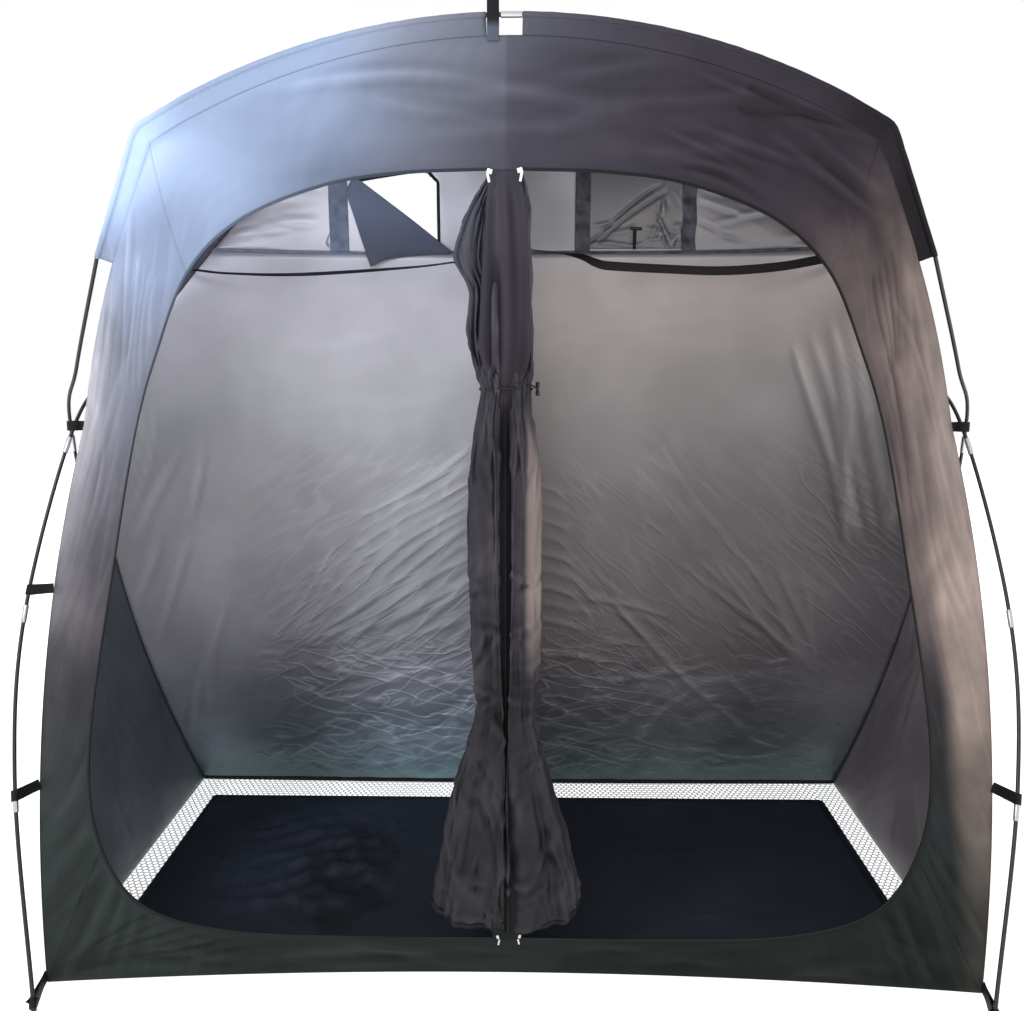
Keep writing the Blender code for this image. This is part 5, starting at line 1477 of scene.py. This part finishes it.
def make_sides():
    for side, label in SIDES:
        for part, low, high, rows in (("lower_side", 0.001, CROSSING_HEIGHT, 96),
                ("upper_side", CROSSING_HEIGHT, SHOULDER_HEIGHT, 52)):
            z = np.linspace(low, high, rows)[:, None]
            half_width, depth = seam_point(z)
            across = np.linspace(-1.0, 1.0, 66)[None, :]
            points = stacked(side * half_width, across * (depth - 0.0012), z)
            y, height = points[..., 1], points[..., 2]
            room = fade(depth, 0.03, 0.2)
            heights = room * (creases(y, height, 91 + side, [(30, (-0.3, 0.3), (0.05, 1.2), (40, 140),
                (0.15, 0.6), (0.006, 0.013), (-0.005, 0.005)), (16, (-0.25, 0.25), (1.4, 1.85), (50, 130),
                (0.1, 0.4), (0.006, 0.012), (-0.003, 0.003))]) + 0.004 * undulation(y, height, 93 + side,
                0.3) + 0.0012 * crumple(y, height, 95 + side, 0.06))
            name = f"{label}_{part}"
            piece = sheet_piece(name + "_cloth", points, heights, (side, 0, 0),
                cloths=(charcoal_polyester, shaded_lining))
            settle_sheet(piece, part, node=name)


def make_roof():
    x = np.linspace(-SHOULDER_HALF_WIDTH, SHOULDER_HALF_WIDTH, 100)[None, :]
    y = np.linspace(-1.0, 1.0, 46)[:, None] * (ROOF_HALF_DEPTH - 0.0012)
    x, y = np.broadcast_arrays(x, y)
    points = stacked(x, y, roof_height(x))
    sag = -0.006 * (1 - (y / ROOF_HALF_DEPTH) ** 2) * (1 - (x / SHOULDER_HALF_WIDTH) ** 4)
    heights = sag + creases(x, y, 101, [(30, (-0.7, 0.7), (-0.3, 0.3), (60, 120), (0.2, 0.7),
        (0.007, 0.014), (-0.004, 0.004)), (20, (-0.7, 0.7), (-0.3, 0.3), (-30, 30), (0.15, 0.4),
        (0.007, 0.014), (-0.003, 0.003))]) + 0.0008 * crumple(x, y, 102, 0.06)
    piece = sheet_piece("roof_cloth", points, heights, (0, 0, 1))
    settle_sheet(piece, "roof_panel")


def make_side_seams():
    """Piped seams where the front and rear walls meet the sides."""
    z = np.linspace(0.002, SHOULDER_HEIGHT, 200)
    half_width, depth = seam_point(z)
    for side, label in SIDES:
        for end, end_label in ENDS:
            route = stacked(side * half_width, end * depth, z)
            piece = sweep_piece(f"{end_label}_{label}_seam", route, (side, 0, 0), round_profile(0.0016, 8),
                charcoal_polyester)
            for attribute, values in cloth_marks(np.repeat(route, 8, axis=0)).items():
                put_attribute(piece, attribute, values)


def sleeve_seam(side, end, pole):
    """Where on the cloth a sleeve's fin starts, below or beside each point of its pole."""
    seams = []
    for x, _, z in pole:
        if abs(x) < ELBOW[0] - 0.02:
            reach = min(abs(x), SHOULDER_HALF_WIDTH)
            seams.append((side * reach, end * ROOF_HALF_DEPTH, float(roof_height(reach))))
        else:
            drop = min(max((ELBOW[2] - z) / (ELBOW[2] - SLEEVE_END[2]), 0.0), 1.0)
            height = SHOULDER_HEIGHT - drop * SLEEVE_DROP
            half_width, depth = seam_point(height)
            seams.append((side * float(half_width), end * float(depth), height))
    return np.array(seams)


def make_sleeves():
    for end, end_label, side, label in CORNERS:
        route = pole_half(side, end)[0]
        lengths = travelled(route)
        start = np.interp(PEAK_NOTCH[side], np.abs(route[:, 0]), lengths)
        wanted = np.linspace(start, lengths[-1], 88)
        pole = np.stack([np.interp(wanted, lengths, route[:, axis]) for axis in range(3)], axis=1)
        seam = sleeve_seam(side, end, pole)
        even = np.ones(7) / 7
        seam = stacked(*(np.convolve(np.pad(line, 3, mode="edge"), even, "valid") for line in seam.T))
        along = tangents(pole)
        rise = pole - seam
        rise = rise - along * np.sum(rise * along, axis=1, keepdims=True)
        tall = np.linalg.norm(rise, axis=1)
        rise = unit(rise)
        across = np.cross(along, rise)
        loop = ROD_RADIUS + 0.0013
        turn = np.radians(np.linspace(-90 + 9, 270 - 9, 22))
        up = np.linspace(0.0, 1.0, 9)[:-1]
        fin = [-tall + (tall - loop * 0.985) * part for part in up]
        columns = ([(0.0007, b) for b in fin] + [(loop * math.cos(a), loop * math.sin(a)) for a in turn]
            + [(-0.0007, b) for b in fin[::-1]])
        points = np.stack([pole + across * a + rise * np.reshape(b, (-1, 1)) for a, b in columns], axis=1)
        run, over = np.broadcast_arrays(wanted[:, None], np.arange(points.shape[1]) * 0.005)
        heights = 0.0008 * crumple(run, over, 111 + side + 3 * end, 0.03)
        # Painted shade on the right sleeves, deepest beyond their elbows
        dark = 0.45 * fade(points[..., 0], 0.6, 0.78) + 0.2 * fade(points[..., 0], 0.8, 0.86)
        piece = sheet_piece(f"{end_label}_{label}_sleeve_cloth", points, heights,
            cloths=[charcoal_polyester] * 2, right_glow=0.0, shade=dark)
        settle_sheet(piece, "sleeve", node=f"{end_label}_{label}_sleeve")


def rod_piece(name, route, node):
    """A round rod along a route, from a path curve with a bevel."""
    bpy.ops.object.select_all(action="DESELECT")
    bpy.ops.curve.primitive_nurbs_path_add()
    piece = bpy.context.object
    piece.name = name
    curve = piece.data
    curve.splines.clear()
    spline = curve.splines.new("POLY")
    spline.points.add(len(route) - 1)
    spline.points.foreach_set("co", np.concatenate([route, np.ones((len(route), 1))], axis=1).ravel())
    curve.dimensions = "3D"
    curve.bevel_depth = ROD_RADIUS
    curve.bevel_resolution = 3
    curve.use_fill_caps = True
    select_only(piece)
    bpy.ops.object.convert(target="MESH")
    piece = bpy.context.object
    bpy.ops.object.shade_smooth_by_angle(angle=math.radians(50))
    piece.data.name = name
    for vertex in piece.data.vertices:
        vertex.co.z = max(vertex.co.z, 0.0)
    piece.data.materials.clear()
    piece.data.materials.append(finish(fibreglass))
    settle(piece, [node])


def ferrule_shape():
    """One metal ferrule at the origin along Z: a tube with rolled ends."""
    bpy.ops.object.select_all(action="DESELECT")
    bpy.ops.mesh.primitive_cylinder_add(vertices=24, radius=FERRULE_RADIUS, depth=FERRULE_LENGTH)
    tube = bpy.context.object
    select_faces(tube, lambda face: abs(face.normal.z) > 0.9)
    bpy.ops.mesh.inset(thickness=0.0009, use_individual=True)
    bpy.ops.mesh.extrude_region_shrink_fatten(TRANSFORM_OT_shrink_fatten={"value": -0.003})
    bpy.ops.object.mode_set(mode="OBJECT")
    bevel(tube, 0.0006, 3, 40)
    shape = tube.data.copy()
    bpy.data.objects.remove(tube, do_unlink=True)
    return shape


def make_poles():
    shape = ferrule_shape()
    for end, end_label in ENDS:
        other = "rear" if end == FRONT else "front"
        right, right_leg = pole_half(RIGHT, end)
        left, left_leg = pole_half(LEFT, end)
        arch = np.vstack([left[1:][::-1], right])
        rod_piece(f"{end_label}_arch_pole", arch, f"{end_label}_roof_pole")
        places = [(f"{end_label}_peak_ferrule", *point_along(arch, travelled(arch)[-1] / 2))]
        for label, leg in (("left", left_leg), ("right", right_leg)):
            rod_piece(f"{other}_{label}_leg_rod", leg, f"{other}_{label}_leg_pole")
            total = travelled(leg)[-1]
            for count in (1, 2, 3):
                place = point_along(leg, total - FERRULE_PITCH * count)
                places.append((f"{other}_{label}_ferrule_{count}", *place))
            places.append((f"{other}_{label}_foot_cap", *point_along(leg, total - 0.018)))
        for name, point, direction in places:
            mesh = shape.copy()
            turn = Vector(direction).to_track_quat("Z", "Y").to_matrix().to_4x4()
            if name.endswith("cap"):
                turn = turn @ Matrix.Diagonal((0.93, 0.93, 0.7, 1.0))
            mesh.transform(Matrix.Translation(Vector(point)) @ turn)
            for vertex in mesh.vertices:
                vertex.co.z = max(vertex.co.z, 0.0)
            mesh.name = name
            piece = new_object(name, mesh)
            mesh.materials.append(finish(black_nylon if name.endswith("cap") else aluminium))
            settle(piece)


def strap_loop(anchor, centre, width_direction, reach):
    """Route from a seam, round a pole and back to the seam."""
    towards = centre - anchor
    towards = unit(towards - width_direction * (towards @ width_direction))
    sideways = unit(np.cross(width_direction, towards))
    root = WEBBING / 2 + 0.0003
    turn = np.radians(np.linspace(-90, 90, 9))
    half_turn = [centre + reach * (math.cos(a) * towards + math.sin(a) * sideways) for a in turn]
    neck = anchor + (centre - anchor) * 0.35
    route = [anchor - sideways * root, neck - sideways * root, *half_turn, neck + sideways * root, anchor
        + sideways * root]
    return respaced(curve_through(route, 6), 90)


def strap_piece(name, route, across, node, width=WEBBING_WIDTH):
    return sweep_piece(name, route, across, webbing_profile(width, WEBBING), black_webbing, nodes=[node])


def make_side_straps():
    both = (LOWER_STRAP_HEIGHT, UPPER_STRAP_HEIGHT)
    levels = {("front", "left"): both, ("front", "right"): (FRONT_RIGHT_STRAP_HEIGHT,),
        ("rear", "left"): both, ("rear", "right"): both}
    for end, end_label, side, label in CORNERS:
        leg = pole_half(side, -end)[1]
        for level in (*levels[end_label, label], FOOT_STRAP_HEIGHT):
            centre, along = point_at_height(leg, level)
            half_width, depth = (float(value) for value in seam_point(level))
            seam = np.array([side * half_width, end * depth, level])
            foot = level == FOOT_STRAP_HEIGHT
            root = FOOT_STRAP_ROOT if foot else STRAP_ROOT
            anchor = seam + unit(centre - seam) * (root - 0.004)
            upper = level == UPPER_STRAP_HEIGHT
            place = "foot" if foot else "upper" if upper else "lower"
            core = ROD_RADIUS if foot or upper else FERRULE_RADIUS
            reach = core + STRAP_CLEARANCE + WEBBING / 2 + LOOP_SLACK
            name = f"{end_label}_{label}_{place}_strap"
            width = FOOT_STRAP_WIDTH if foot else WEBBING_WIDTH
            strap_piece(name + "_webbing", strap_loop(anchor, centre, along, reach), along, name, width)


def make_cross_ties():
    for side, label in SIDES:
        inner = LEG_ROUTE[1][0] - CROSSING_SPREAD - ROD_RADIUS
        outer = LEG_ROUTE[1][0] + CROSSING_SPREAD + ROD_RADIUS
        root = WEBBING / 2 + 0.0003
        span = ROD_RADIUS + 0.0058
        half = [(CROSSING_HALF_WIDTH + 0.001, root), (inner - 0.014, root), (inner - 0.004, span * 0.7),
            (inner + 0.004, span), (outer - 0.004, span), (outer + 0.0014, span * 0.62),
            (outer + 0.0026, span * 0.2)]
        outline = half + [(x, -y) for x, y in reversed(half)]
        route = respaced(curve_through([(side * x, y, CROSSING_HEIGHT) for x, y in outline], 8), 100)
        strap_piece(f"{label}_crossing_webbing", route, (0, 0, 1), f"{label}_cross_tie")


def make_peak_ties():
    for end, end_label in ENDS:
        clear = FERRULE_RADIUS + STRAP_CLEARANCE + WEBBING / 2 + 0.001
        top = POLE_PEAK + FERRULE_RADIUS + PEAK_TIE_RISE
        half = [(0.0038, RIDGE_HEIGHT - 0.012), (0.0034, RIDGE_HEIGHT + 0.004), (clear, POLE_PEAK - 0.01),
            (clear, POLE_PEAK + 0.006), (clear * 0.75, top - 0.004), (clear * 0.3, top - 0.0004)]
        outline = half + [(-y, z) for y, z in reversed(half)]
        route = respaced(curve_through([(PEAK_TIE_MIDDLE, end * ROOF_HALF_DEPTH + y, z) for y, z
            in outline], 8), 110)
        piece = strap_piece(f"{end_label}_peak_webbing", route, (1, 0, 0), f"{end_label}_peak_tie")
        heights = np.array([vertex.co.z for vertex in piece.data.vertices])
        put_attribute(piece, "haze", 0.16 * fade(heights, RIDGE_HEIGHT + 0.03, RIDGE_HEIGHT + 0.01))


def make_towel_straps():
    """A strap across each room. The left one lies level; the right one turns upright part way."""
    y = TOWEL_STRAP_DEPTH
    reach = float(seam_point(1.655)[0]) - 0.003
    left = curve_through([(STRIP_MIDDLE - 0.002, y, 1.69), (-0.16, y, 1.671), (-0.3, y, 1.655),
        (-0.6, y, 1.637), (-0.8, y, 1.64), (-reach, y, 1.65)], 24)
    tilt = 0.36 + 0.1 * np.sin(left[:, 0] * 9.0)
    across = stacked(0.0, np.cos(tilt), np.sin(tilt))
    pieces = [strap_piece("left_towel_webbing", left, across, "left_towel_strap")]
    right = curve_through([(STRIP_MIDDLE + 0.002, y, 1.708), (0.1, y, 1.696), (0.18, y, 1.684),
        (0.22, y, 1.668), (0.26, y, 1.659), (0.4, y, 1.651), (0.57, y, 1.645), (0.72, y, 1.655),
        (0.82, y, 1.671), (reach, y, 1.688)], 24)
    turn = (np.pi / 2 - 0.12) * fade(right[:, 0], 0.1, 0.26) + 0.05 * np.sin(right[:, 0] * 11.0)
    across = stacked(0.0, np.cos(turn), np.sin(turn))
    pieces.append(strap_piece("right_towel_webbing", right, across, "right_towel_strap"))
    # The light in the tent comes from all round, so that the straps cast no shadow on the wall
    for piece in pieces:
        piece.visible_shadow = False


def make_divider():
    z = np.linspace(0.006, RIDGE_HEIGHT - 0.004, 64)[:, None]
    front = wall_at(STRIP_MIDDLE, z, FRONT)[..., 1] + 0.004
    rear = wall_at(STRIP_MIDDLE, z, REAR)[..., 1] - 0.004
    part = np.linspace(0.0, 1.0, 34)[None, :]
    y = front + (rear - front) * part
    points = stacked(STRIP_MIDDLE, y, z)
    heights = 0.004 * fade(part, 0.25, 0.5) * np.sin(y * 40.0 + 1.5 * np.sin(z * 3.0))
    piece = sheet_piece("divider_cloth", points, heights, (-1, 0, 0), cloths=[door_polyester] * 2,
        pale_haze=0.0)
    settle_sheet(piece, "divider_curtain")


def make_floor_sheet():
    inner = BASE_HALF_WIDTH - MESH_SIDE_WIDTH
    rear = BASE_HALF_DEPTH - REAR_HEM_BOW - MESH_REAR_WIDTH
    x = refined([-inner, -0.25, inner], [120, 50])[None, :]
    front = wall_at(x, 0.003, FRONT)[..., 1] + 0.002
    part = np.linspace(0.0, 1.0, 90)[:, None]
    y = front + (rear - front) * part
    x = np.broadcast_to(x, y.shape)
    points = stacked(x, y, 0.0016)
    crushed = fade(np.hypot((x + 0.58) / 0.36, (y - 0.02) / 0.4), 1.0, 0.45)
    heights = (0.022 * crushed * np.clip(0.3 + crumple(x, y, 121, 0.12), 0, None) + 0.006 * crushed
        * (0.5 + crumple(x, y, 122, 0.05)) + 0.0012 * (1 + undulation(x, y, 123, 0.2))
        + np.clip(creases(x, y, 124, [(40, (-0.9, 0.9), (-0.45, 0.38), (-25, 25), (0.15, 0.6),
        (0.006, 0.012), (0.001, 0.004)), (20, (-0.9, 0.9), (-0.45, 0.38), (60, 120), (0.15, 0.5),
        (0.006, 0.012), (0.001, 0.003))]), 0, None))
    # Darker patches and a darker front in the left room, paler cloth along the rear and in the right room
    patch_distance = np.hypot((x + 0.45) / 0.14, (y + 0.06) / 0.26) + 0.55 * crumple(x, y, 125, 0.16)
    shade = (0.5 * fade(patch_distance, 1.15, 0.7) + 0.22 * fade(y, -0.05, -0.25) * fade(x, 0.0, -0.1) - 0.35
        * fade(y, 0.1, 0.35) - 0.3 * fade(x, -0.1, 0.1))
    piece = sheet_piece("floor_cloth", points, heights, (0, 0, 1), cloths=[floor_cloth] * 2, shade=shade)
    settle_sheet(piece, "floor_panel")


def honeycomb(name, low, high, near, far, node):
    """A strip of knitted mesh with hexagon holes, clipped to its x range and to its two edges."""
    sizes = bpy.context.scene.tent_sizes
    cell, thread = sizes.mesh_cell, sizes.mesh_thread
    step_x, step_y = cell, cell * math.sqrt(3) / 2
    corner = np.radians(np.arange(6) * 60 + 30)
    hexagon = stacked(np.cos(corner), np.sin(corner)) / math.sqrt(3)
    points, faces = [], []
    y_low, y_high = float(np.min(near(np.array([low, high])))), float(np.max(far(np.array([low, high, 0.0]))))
    for row in range(-1, int((y_high - y_low) / step_y) + 3):
        for column in range(-1, int((high - low) / step_x) + 3):
            centre = np.array([low + (column + 0.5 * (row % 2)) * step_x, y_low + row * step_y])
            ring = np.vstack([centre + hexagon * cell, centre + hexagon * (cell - thread)])
            ring[:, 0] = np.clip(ring[:, 0], low, high)
            ring[:, 1] = np.clip(ring[:, 1], near(ring[:, 0]), far(ring[:, 0]))
            if np.ptp(ring[:6, 0]) < cell * 0.2 or np.ptp(ring[:6, 1]) < cell * 0.2:
                continue
            start = len(points)
            points.extend((px, py, 0.0014) for px, py in ring)
            for k in range(6):
                after = (k + 1) % 6
                faces.append((start + k, start + after, start + 6 + after, start + 6 + k))
    mesh = bpy.data.meshes.new(name)
    mesh.from_pydata(points, [], faces)
    with edited(mesh) as bm:
        bmesh.ops.remove_doubles(bm, verts=bm.verts, dist=0.0002)
        bmesh.ops.dissolve_degenerate(bm, edges=bm.edges, dist=0.0001)
        bmesh.ops.recalc_face_normals(bm, faces=bm.faces)
    mesh.materials.append(finish(mesh_cloth))
    piece = new_object(name, mesh)
    shell = piece.modifiers.new("thread thickness", "SOLIDIFY")
    shell.thickness = 0.001
    shell.offset = 0.0
    settle_sheet(piece, "side_mesh" if node != "rear_drain_mesh" else node, node=node)


def make_drain_mesh():
    inner = BASE_HALF_WIDTH - MESH_SIDE_WIDTH
    rear = BASE_HALF_DEPTH - REAR_HEM_BOW - MESH_REAR_WIDTH

    def front_edge(x):
        return wall_at(x, 0.003, FRONT)[..., 1] + 0.003

    def rear_edge(x):
        return wall_at(x, 0.003, REAR)[..., 1] - 0.002

    def floor_edge(x):
        return np.full_like(x, rear)

    honeycomb("rear_mesh_strip", -inner, inner, floor_edge, rear_edge, "rear_drain_mesh")
    outer = BASE_HALF_WIDTH - 0.002
    honeycomb("left_mesh_strip", -outer, -inner, front_edge, rear_edge, "left_drain_mesh")
    honeycomb("right_mesh_strip", inner, outer, front_edge, rear_edge, "right_drain_mesh")
    # Dark binding along the floor's edges, and the bottom hem behind the mesh
    corner_y = float(front_edge(np.array([inner]))[0])
    for name, x, y, across in (("rear", (-inner, inner), (rear, rear), (0, 1, 0)),
            ("left", (-inner, -inner), (corner_y, rear), (1, 0, 0)), ("right", (inner, inner),
            (corner_y, rear), (1, 0, 0))):
        route = stacked(np.linspace(*x, 60), np.linspace(*y, 60), 0.003)
        sweep_piece(f"floor_{name}_binding", route, across, webbing_profile(0.014, 0.0022), floor_cloth)
    hem_x = np.linspace(-outer, outer, 200)
    route = wall_at(hem_x, 0.008, REAR) + np.array([0.0, -0.0022, 0.0])
    sweep_piece("rear_hem_binding", route, (0, 0, 1), webbing_profile(0.014, 0.0018), zip_tape)


def make_stage():
    bpy.ops.object.select_all(action="DESELECT")
    bpy.ops.mesh.primitive_circle_add(vertices=96, radius=14.0, fill_type="NGON", location=(0, 0, -0.0006))
    floor = bpy.context.object
    floor.name = floor.data.name = "studio_floor"
    floor.data.materials.append(finish(pale_floor))

    scene = bpy.context.scene
    scene.view_settings.view_transform = "Standard"
    world = bpy.data.worlds.new("studio daylight")
    world.use_nodes = True
    background = world.node_tree.nodes["Background"]
    background.inputs["Color"].default_value = (1.0, 1.0, 1.0, 1.0)
    background.inputs["Strength"].default_value = 1.0
    scene.world = world

    for name, place, aim, size, power, tint in LIGHTS:
        lamp = bpy.data.lights.new(name, "AREA")
        lamp.shape = "RECTANGLE"
        lamp.size, lamp.size_y = size
        lamp.energy = power
        lamp.color = colour(tint)
        light = new_object(name, lamp)
        light.location = place
        light.rotation_euler = (Vector(aim) - Vector(place)).to_track_quat("-Z", "Y").to_euler()
        light.visible_camera = False

    lens = bpy.data.cameras.new("camera")
    lens.lens = CAMERA_LENS
    lens.sensor_width = 36.0
    camera = new_object("camera", lens)
    camera.location = CAMERA_PLACE
    camera.rotation_euler = [math.radians(angle) for angle in CAMERA_TURN]
    scene.camera = camera


# Soft lights: name, place, what each is aimed at, size in metres, power in watts and tint
LIGHTS = (
    ("window light", (-1.9, -2.2, 3.0), (-0.1, -0.2, 1.2), (0.9, 0.9), 30.0, "#E6EEFF"),
    ("left room", (-0.42, -0.2, 1.8), (-0.42, 0.5, 1.0), (0.7, 0.12), 3.5, "#EDEBFF"),
    ("right room", (0.45, -0.2, 1.8), (0.45, 0.5, 1.0), (0.7, 0.12), 2.0, "#FFF1E6"),
)


class TentSizes(bpy.types.PropertyGroup):
    """Sizes of the cloth and the drain mesh."""
    cloth: FloatProperty(name="Cloth", description="Thickness of the sewn cloth with its hems",
        default=0.0006, min=0.0001, max=0.002, unit="LENGTH")
    mesh_cell: FloatProperty(name="Mesh cell", description="Width of one hexagon hole of the drain mesh",
        default=0.017, min=0.006, max=0.05, unit="LENGTH")
    mesh_thread: FloatProperty(name="Mesh thread", description="Width of the threads between two holes",
        default=0.0042, min=0.001, max=0.01, unit="LENGTH")


def tone(name, description, hex_code):
    return FloatVectorProperty(name=name, description=description, default=colour(hex_code), size=3,
        min=0.0, max=1.0, subtype="COLOR")


class TentColours(bpy.types.PropertyGroup):
    """Colours of the cloth and the glow of the studio floor."""
    cloth: tone("Outside", "Outside cloth, upper part", "#2C262D")
    cloth_low: tone("Outside, low", "Outside cloth near the ground", "#262D2B")
    haze: tone("Haze", "Daylight in the upper left of the front", "#BED6FA")
    pale_haze: tone("Pale haze", "Daylight further from the upper left corner", "#DCE6FF")
    left_glow: tone("Left glow", "Daylight through the cloth at the left seam", "#FFF9FC")
    right_glow: tone("Right glow", "Daylight through the cloth at the right seam", "#FFE3D4")
    lining_left: tone("Left lining", "Coated inside of the left room, upper part", "#B3B3B7")
    lining_right: tone("Right lining", "Coated inside of the right room, upper part", "#A39E9F")
    lining_left_low: tone("Left lining, low", "Inside of the left room near the floor", "#7A7A84")
    lining_right_low: tone("Right lining, low", "Inside of the right room near the floor", "#625E63")
    side_lining: tone("Side lining", "Inside of the side walls", "#7B7982")
    side_lining_low: tone("Side lining, low", "Inside of the side walls, darker patches", "#4F5158")
    facing: tone("Facing", "Cloth sewn beside the windows", "#33363F")
    facing_light: tone("Facing, light", "Paler patches of that cloth", "#565A66")
    door: tone("Doors", "Gathered door cloth", "#3A373D")
    door_dark: tone("Doors, dark", "Darker patches of the door cloth", "#27252B")
    floor: tone("Floor", "Floor sheet", "#252B36")
    floor_low: tone("Floor, dark", "Darker patches of the floor sheet", "#181D25")
    floor_glow: FloatProperty(name="Floor glow", description="Light that the studio floor gives off",
        default=0.7, min=0.0, max=2.0)


class TENT_OT_stage(bpy.types.Operator):
    """Make the pale floor, the soft lights and the camera"""
    bl_idname = "tent.stage"
    bl_label = "Studio"

    def execute(self, context):
        make_stage()
        return {"FINISHED"}


class TENT_OT_front_wall(bpy.types.Operator):
    """Make the header, the panels beside the doors, the sill and the strip between the doors"""
    bl_idname = "tent.front_wall"
    bl_label = "Front wall"

    def execute(self, context):
        make_front_wall()
        make_centre_strip()
        return {"FINISHED"}


class TENT_OT_doors(bpy.types.Operator):
    """Make the gathered doors with their zips, pulls, tie cord and toggle"""
    bl_idname = "tent.doors"
    bl_label = "Doors"

    def execute(self, context):
        make_doors()
        make_door_zips()
        make_zip_pulls()
        make_door_tie()
        make_door_toggle()
        return {"FINISHED"}


class TENT_OT_rear_wall(bpy.types.Operator):
    """Make the rear wall below the windows"""
    bl_idname = "tent.rear_wall"
    bl_label = "Rear wall"

    def execute(self, context):
        make_rear_wall()
        return {"FINISHED"}


class TENT_OT_windows(bpy.types.Operator):
    """Make the band with the two windows, their bindings, flaps and toggle"""
    bl_idname = "tent.windows"
    bl_label = "Windows"

    def execute(self, context):
        make_window_band()
        make_window_trims()
        make_window_flaps()
        return {"FINISHED"}


class TENT_OT_sides(bpy.types.Operator):
    """Make the triangles of both sides and the piped seams along them"""
    bl_idname = "tent.sides"
    bl_label = "Sides"

    def execute(self, context):
        make_sides()
        make_side_seams()
        return {"FINISHED"}


class TENT_OT_roof(bpy.types.Operator):
    """Make the roof panel"""
    bl_idname = "tent.roof"
    bl_label = "Roof"

    def execute(self, context):
        make_roof()
        return {"FINISHED"}


class TENT_OT_sleeves(bpy.types.Operator):
    """Make the four sleeves that hold the roof arches"""
    bl_idname = "tent.sleeves"
    bl_label = "Sleeves"

    def execute(self, context):
        make_sleeves()
        return {"FINISHED"}


class TENT_OT_poles(bpy.types.Operator):
    """Make the two long poles with their ferrules"""
    bl_idname = "tent.poles"
    bl_label = "Poles"

    def execute(self, context):
        make_poles()
        return {"FINISHED"}


class TENT_OT_straps(bpy.types.Operator):
    """Make the webbing that holds the tent to its poles"""
    bl_idname = "tent.straps"
    bl_label = "Pole straps"

    def execute(self, context):
        make_side_straps()
        make_cross_ties()
        make_peak_ties()
        return {"FINISHED"}


class TENT_OT_towel_straps(bpy.types.Operator):
    """Make the towel strap of each room"""
    bl_idname = "tent.towel_straps"
    bl_label = "Towel straps"

    def execute(self, context):
        make_towel_straps()
        return {"FINISHED"}


class TENT_OT_divider(bpy.types.Operator):
    """Make the curtain between the two rooms"""
    bl_idname = "tent.divider"
    bl_label = "Divider"

    def execute(self, context):
        make_divider()
        return {"FINISHED"}


class TENT_OT_floor(bpy.types.Operator):
    """Make the floor sheet and the drain mesh round it"""
    bl_idname = "tent.floor"
    bl_label = "Floor and drain mesh"

    def execute(self, context):
        make_floor_sheet()
        make_drain_mesh()
        return {"FINISHED"}


OPERATORS = (
    TENT_OT_stage, TENT_OT_poles, TENT_OT_front_wall, TENT_OT_rear_wall, TENT_OT_windows, TENT_OT_sides,
    TENT_OT_roof, TENT_OT_sleeves, TENT_OT_straps, TENT_OT_doors, TENT_OT_divider, TENT_OT_towel_straps,
    TENT_OT_floor,
)


class TENT_PT_panel(bpy.types.Panel):
    """Sizes, colours and pieces of the shower tent"""
    bl_idname = "TENT_PT_panel"
    bl_label = "Shower Tent"
    bl_space_type = "VIEW_3D"
    bl_region_type = "UI"
    bl_category = "Shower Tent"

    def draw(self, context):
        column = self.layout.column()
        for group in (context.scene.tent_sizes, context.scene.tent_colours):
            for name in type(group).__annotations__:
                column.prop(group, name)
        column.separator()
        for operator in OPERATORS:
            column.operator(operator.bl_idname)


CLASSES = (TentSizes, TentColours, *OPERATORS, TENT_PT_panel)


def register():
    for cls in CLASSES:
        bpy.utils.register_class(cls)
    bpy.types.Scene.tent_sizes = PointerProperty(type=TentSizes)
    bpy.types.Scene.tent_colours = PointerProperty(type=TentColours)


def unregister():
    del bpy.types.Scene.tent_colours
    del bpy.types.Scene.tent_sizes
    for cls in reversed(CLASSES):
        bpy.utils.unregister_class(cls)


def main():
    register()
    bpy.ops.tent.stage()
    bpy.ops.tent.poles()
    bpy.ops.tent.front_wall()
    bpy.ops.tent.rear_wall()
    bpy.ops.tent.windows()
    bpy.ops.tent.sides()
    bpy.ops.tent.roof()
    bpy.ops.tent.sleeves()
    bpy.ops.tent.straps()
    bpy.ops.tent.doors()
    bpy.ops.tent.divider()
    bpy.ops.tent.towel_straps()
    bpy.ops.tent.floor()


if __name__ == "__main__":
    main()
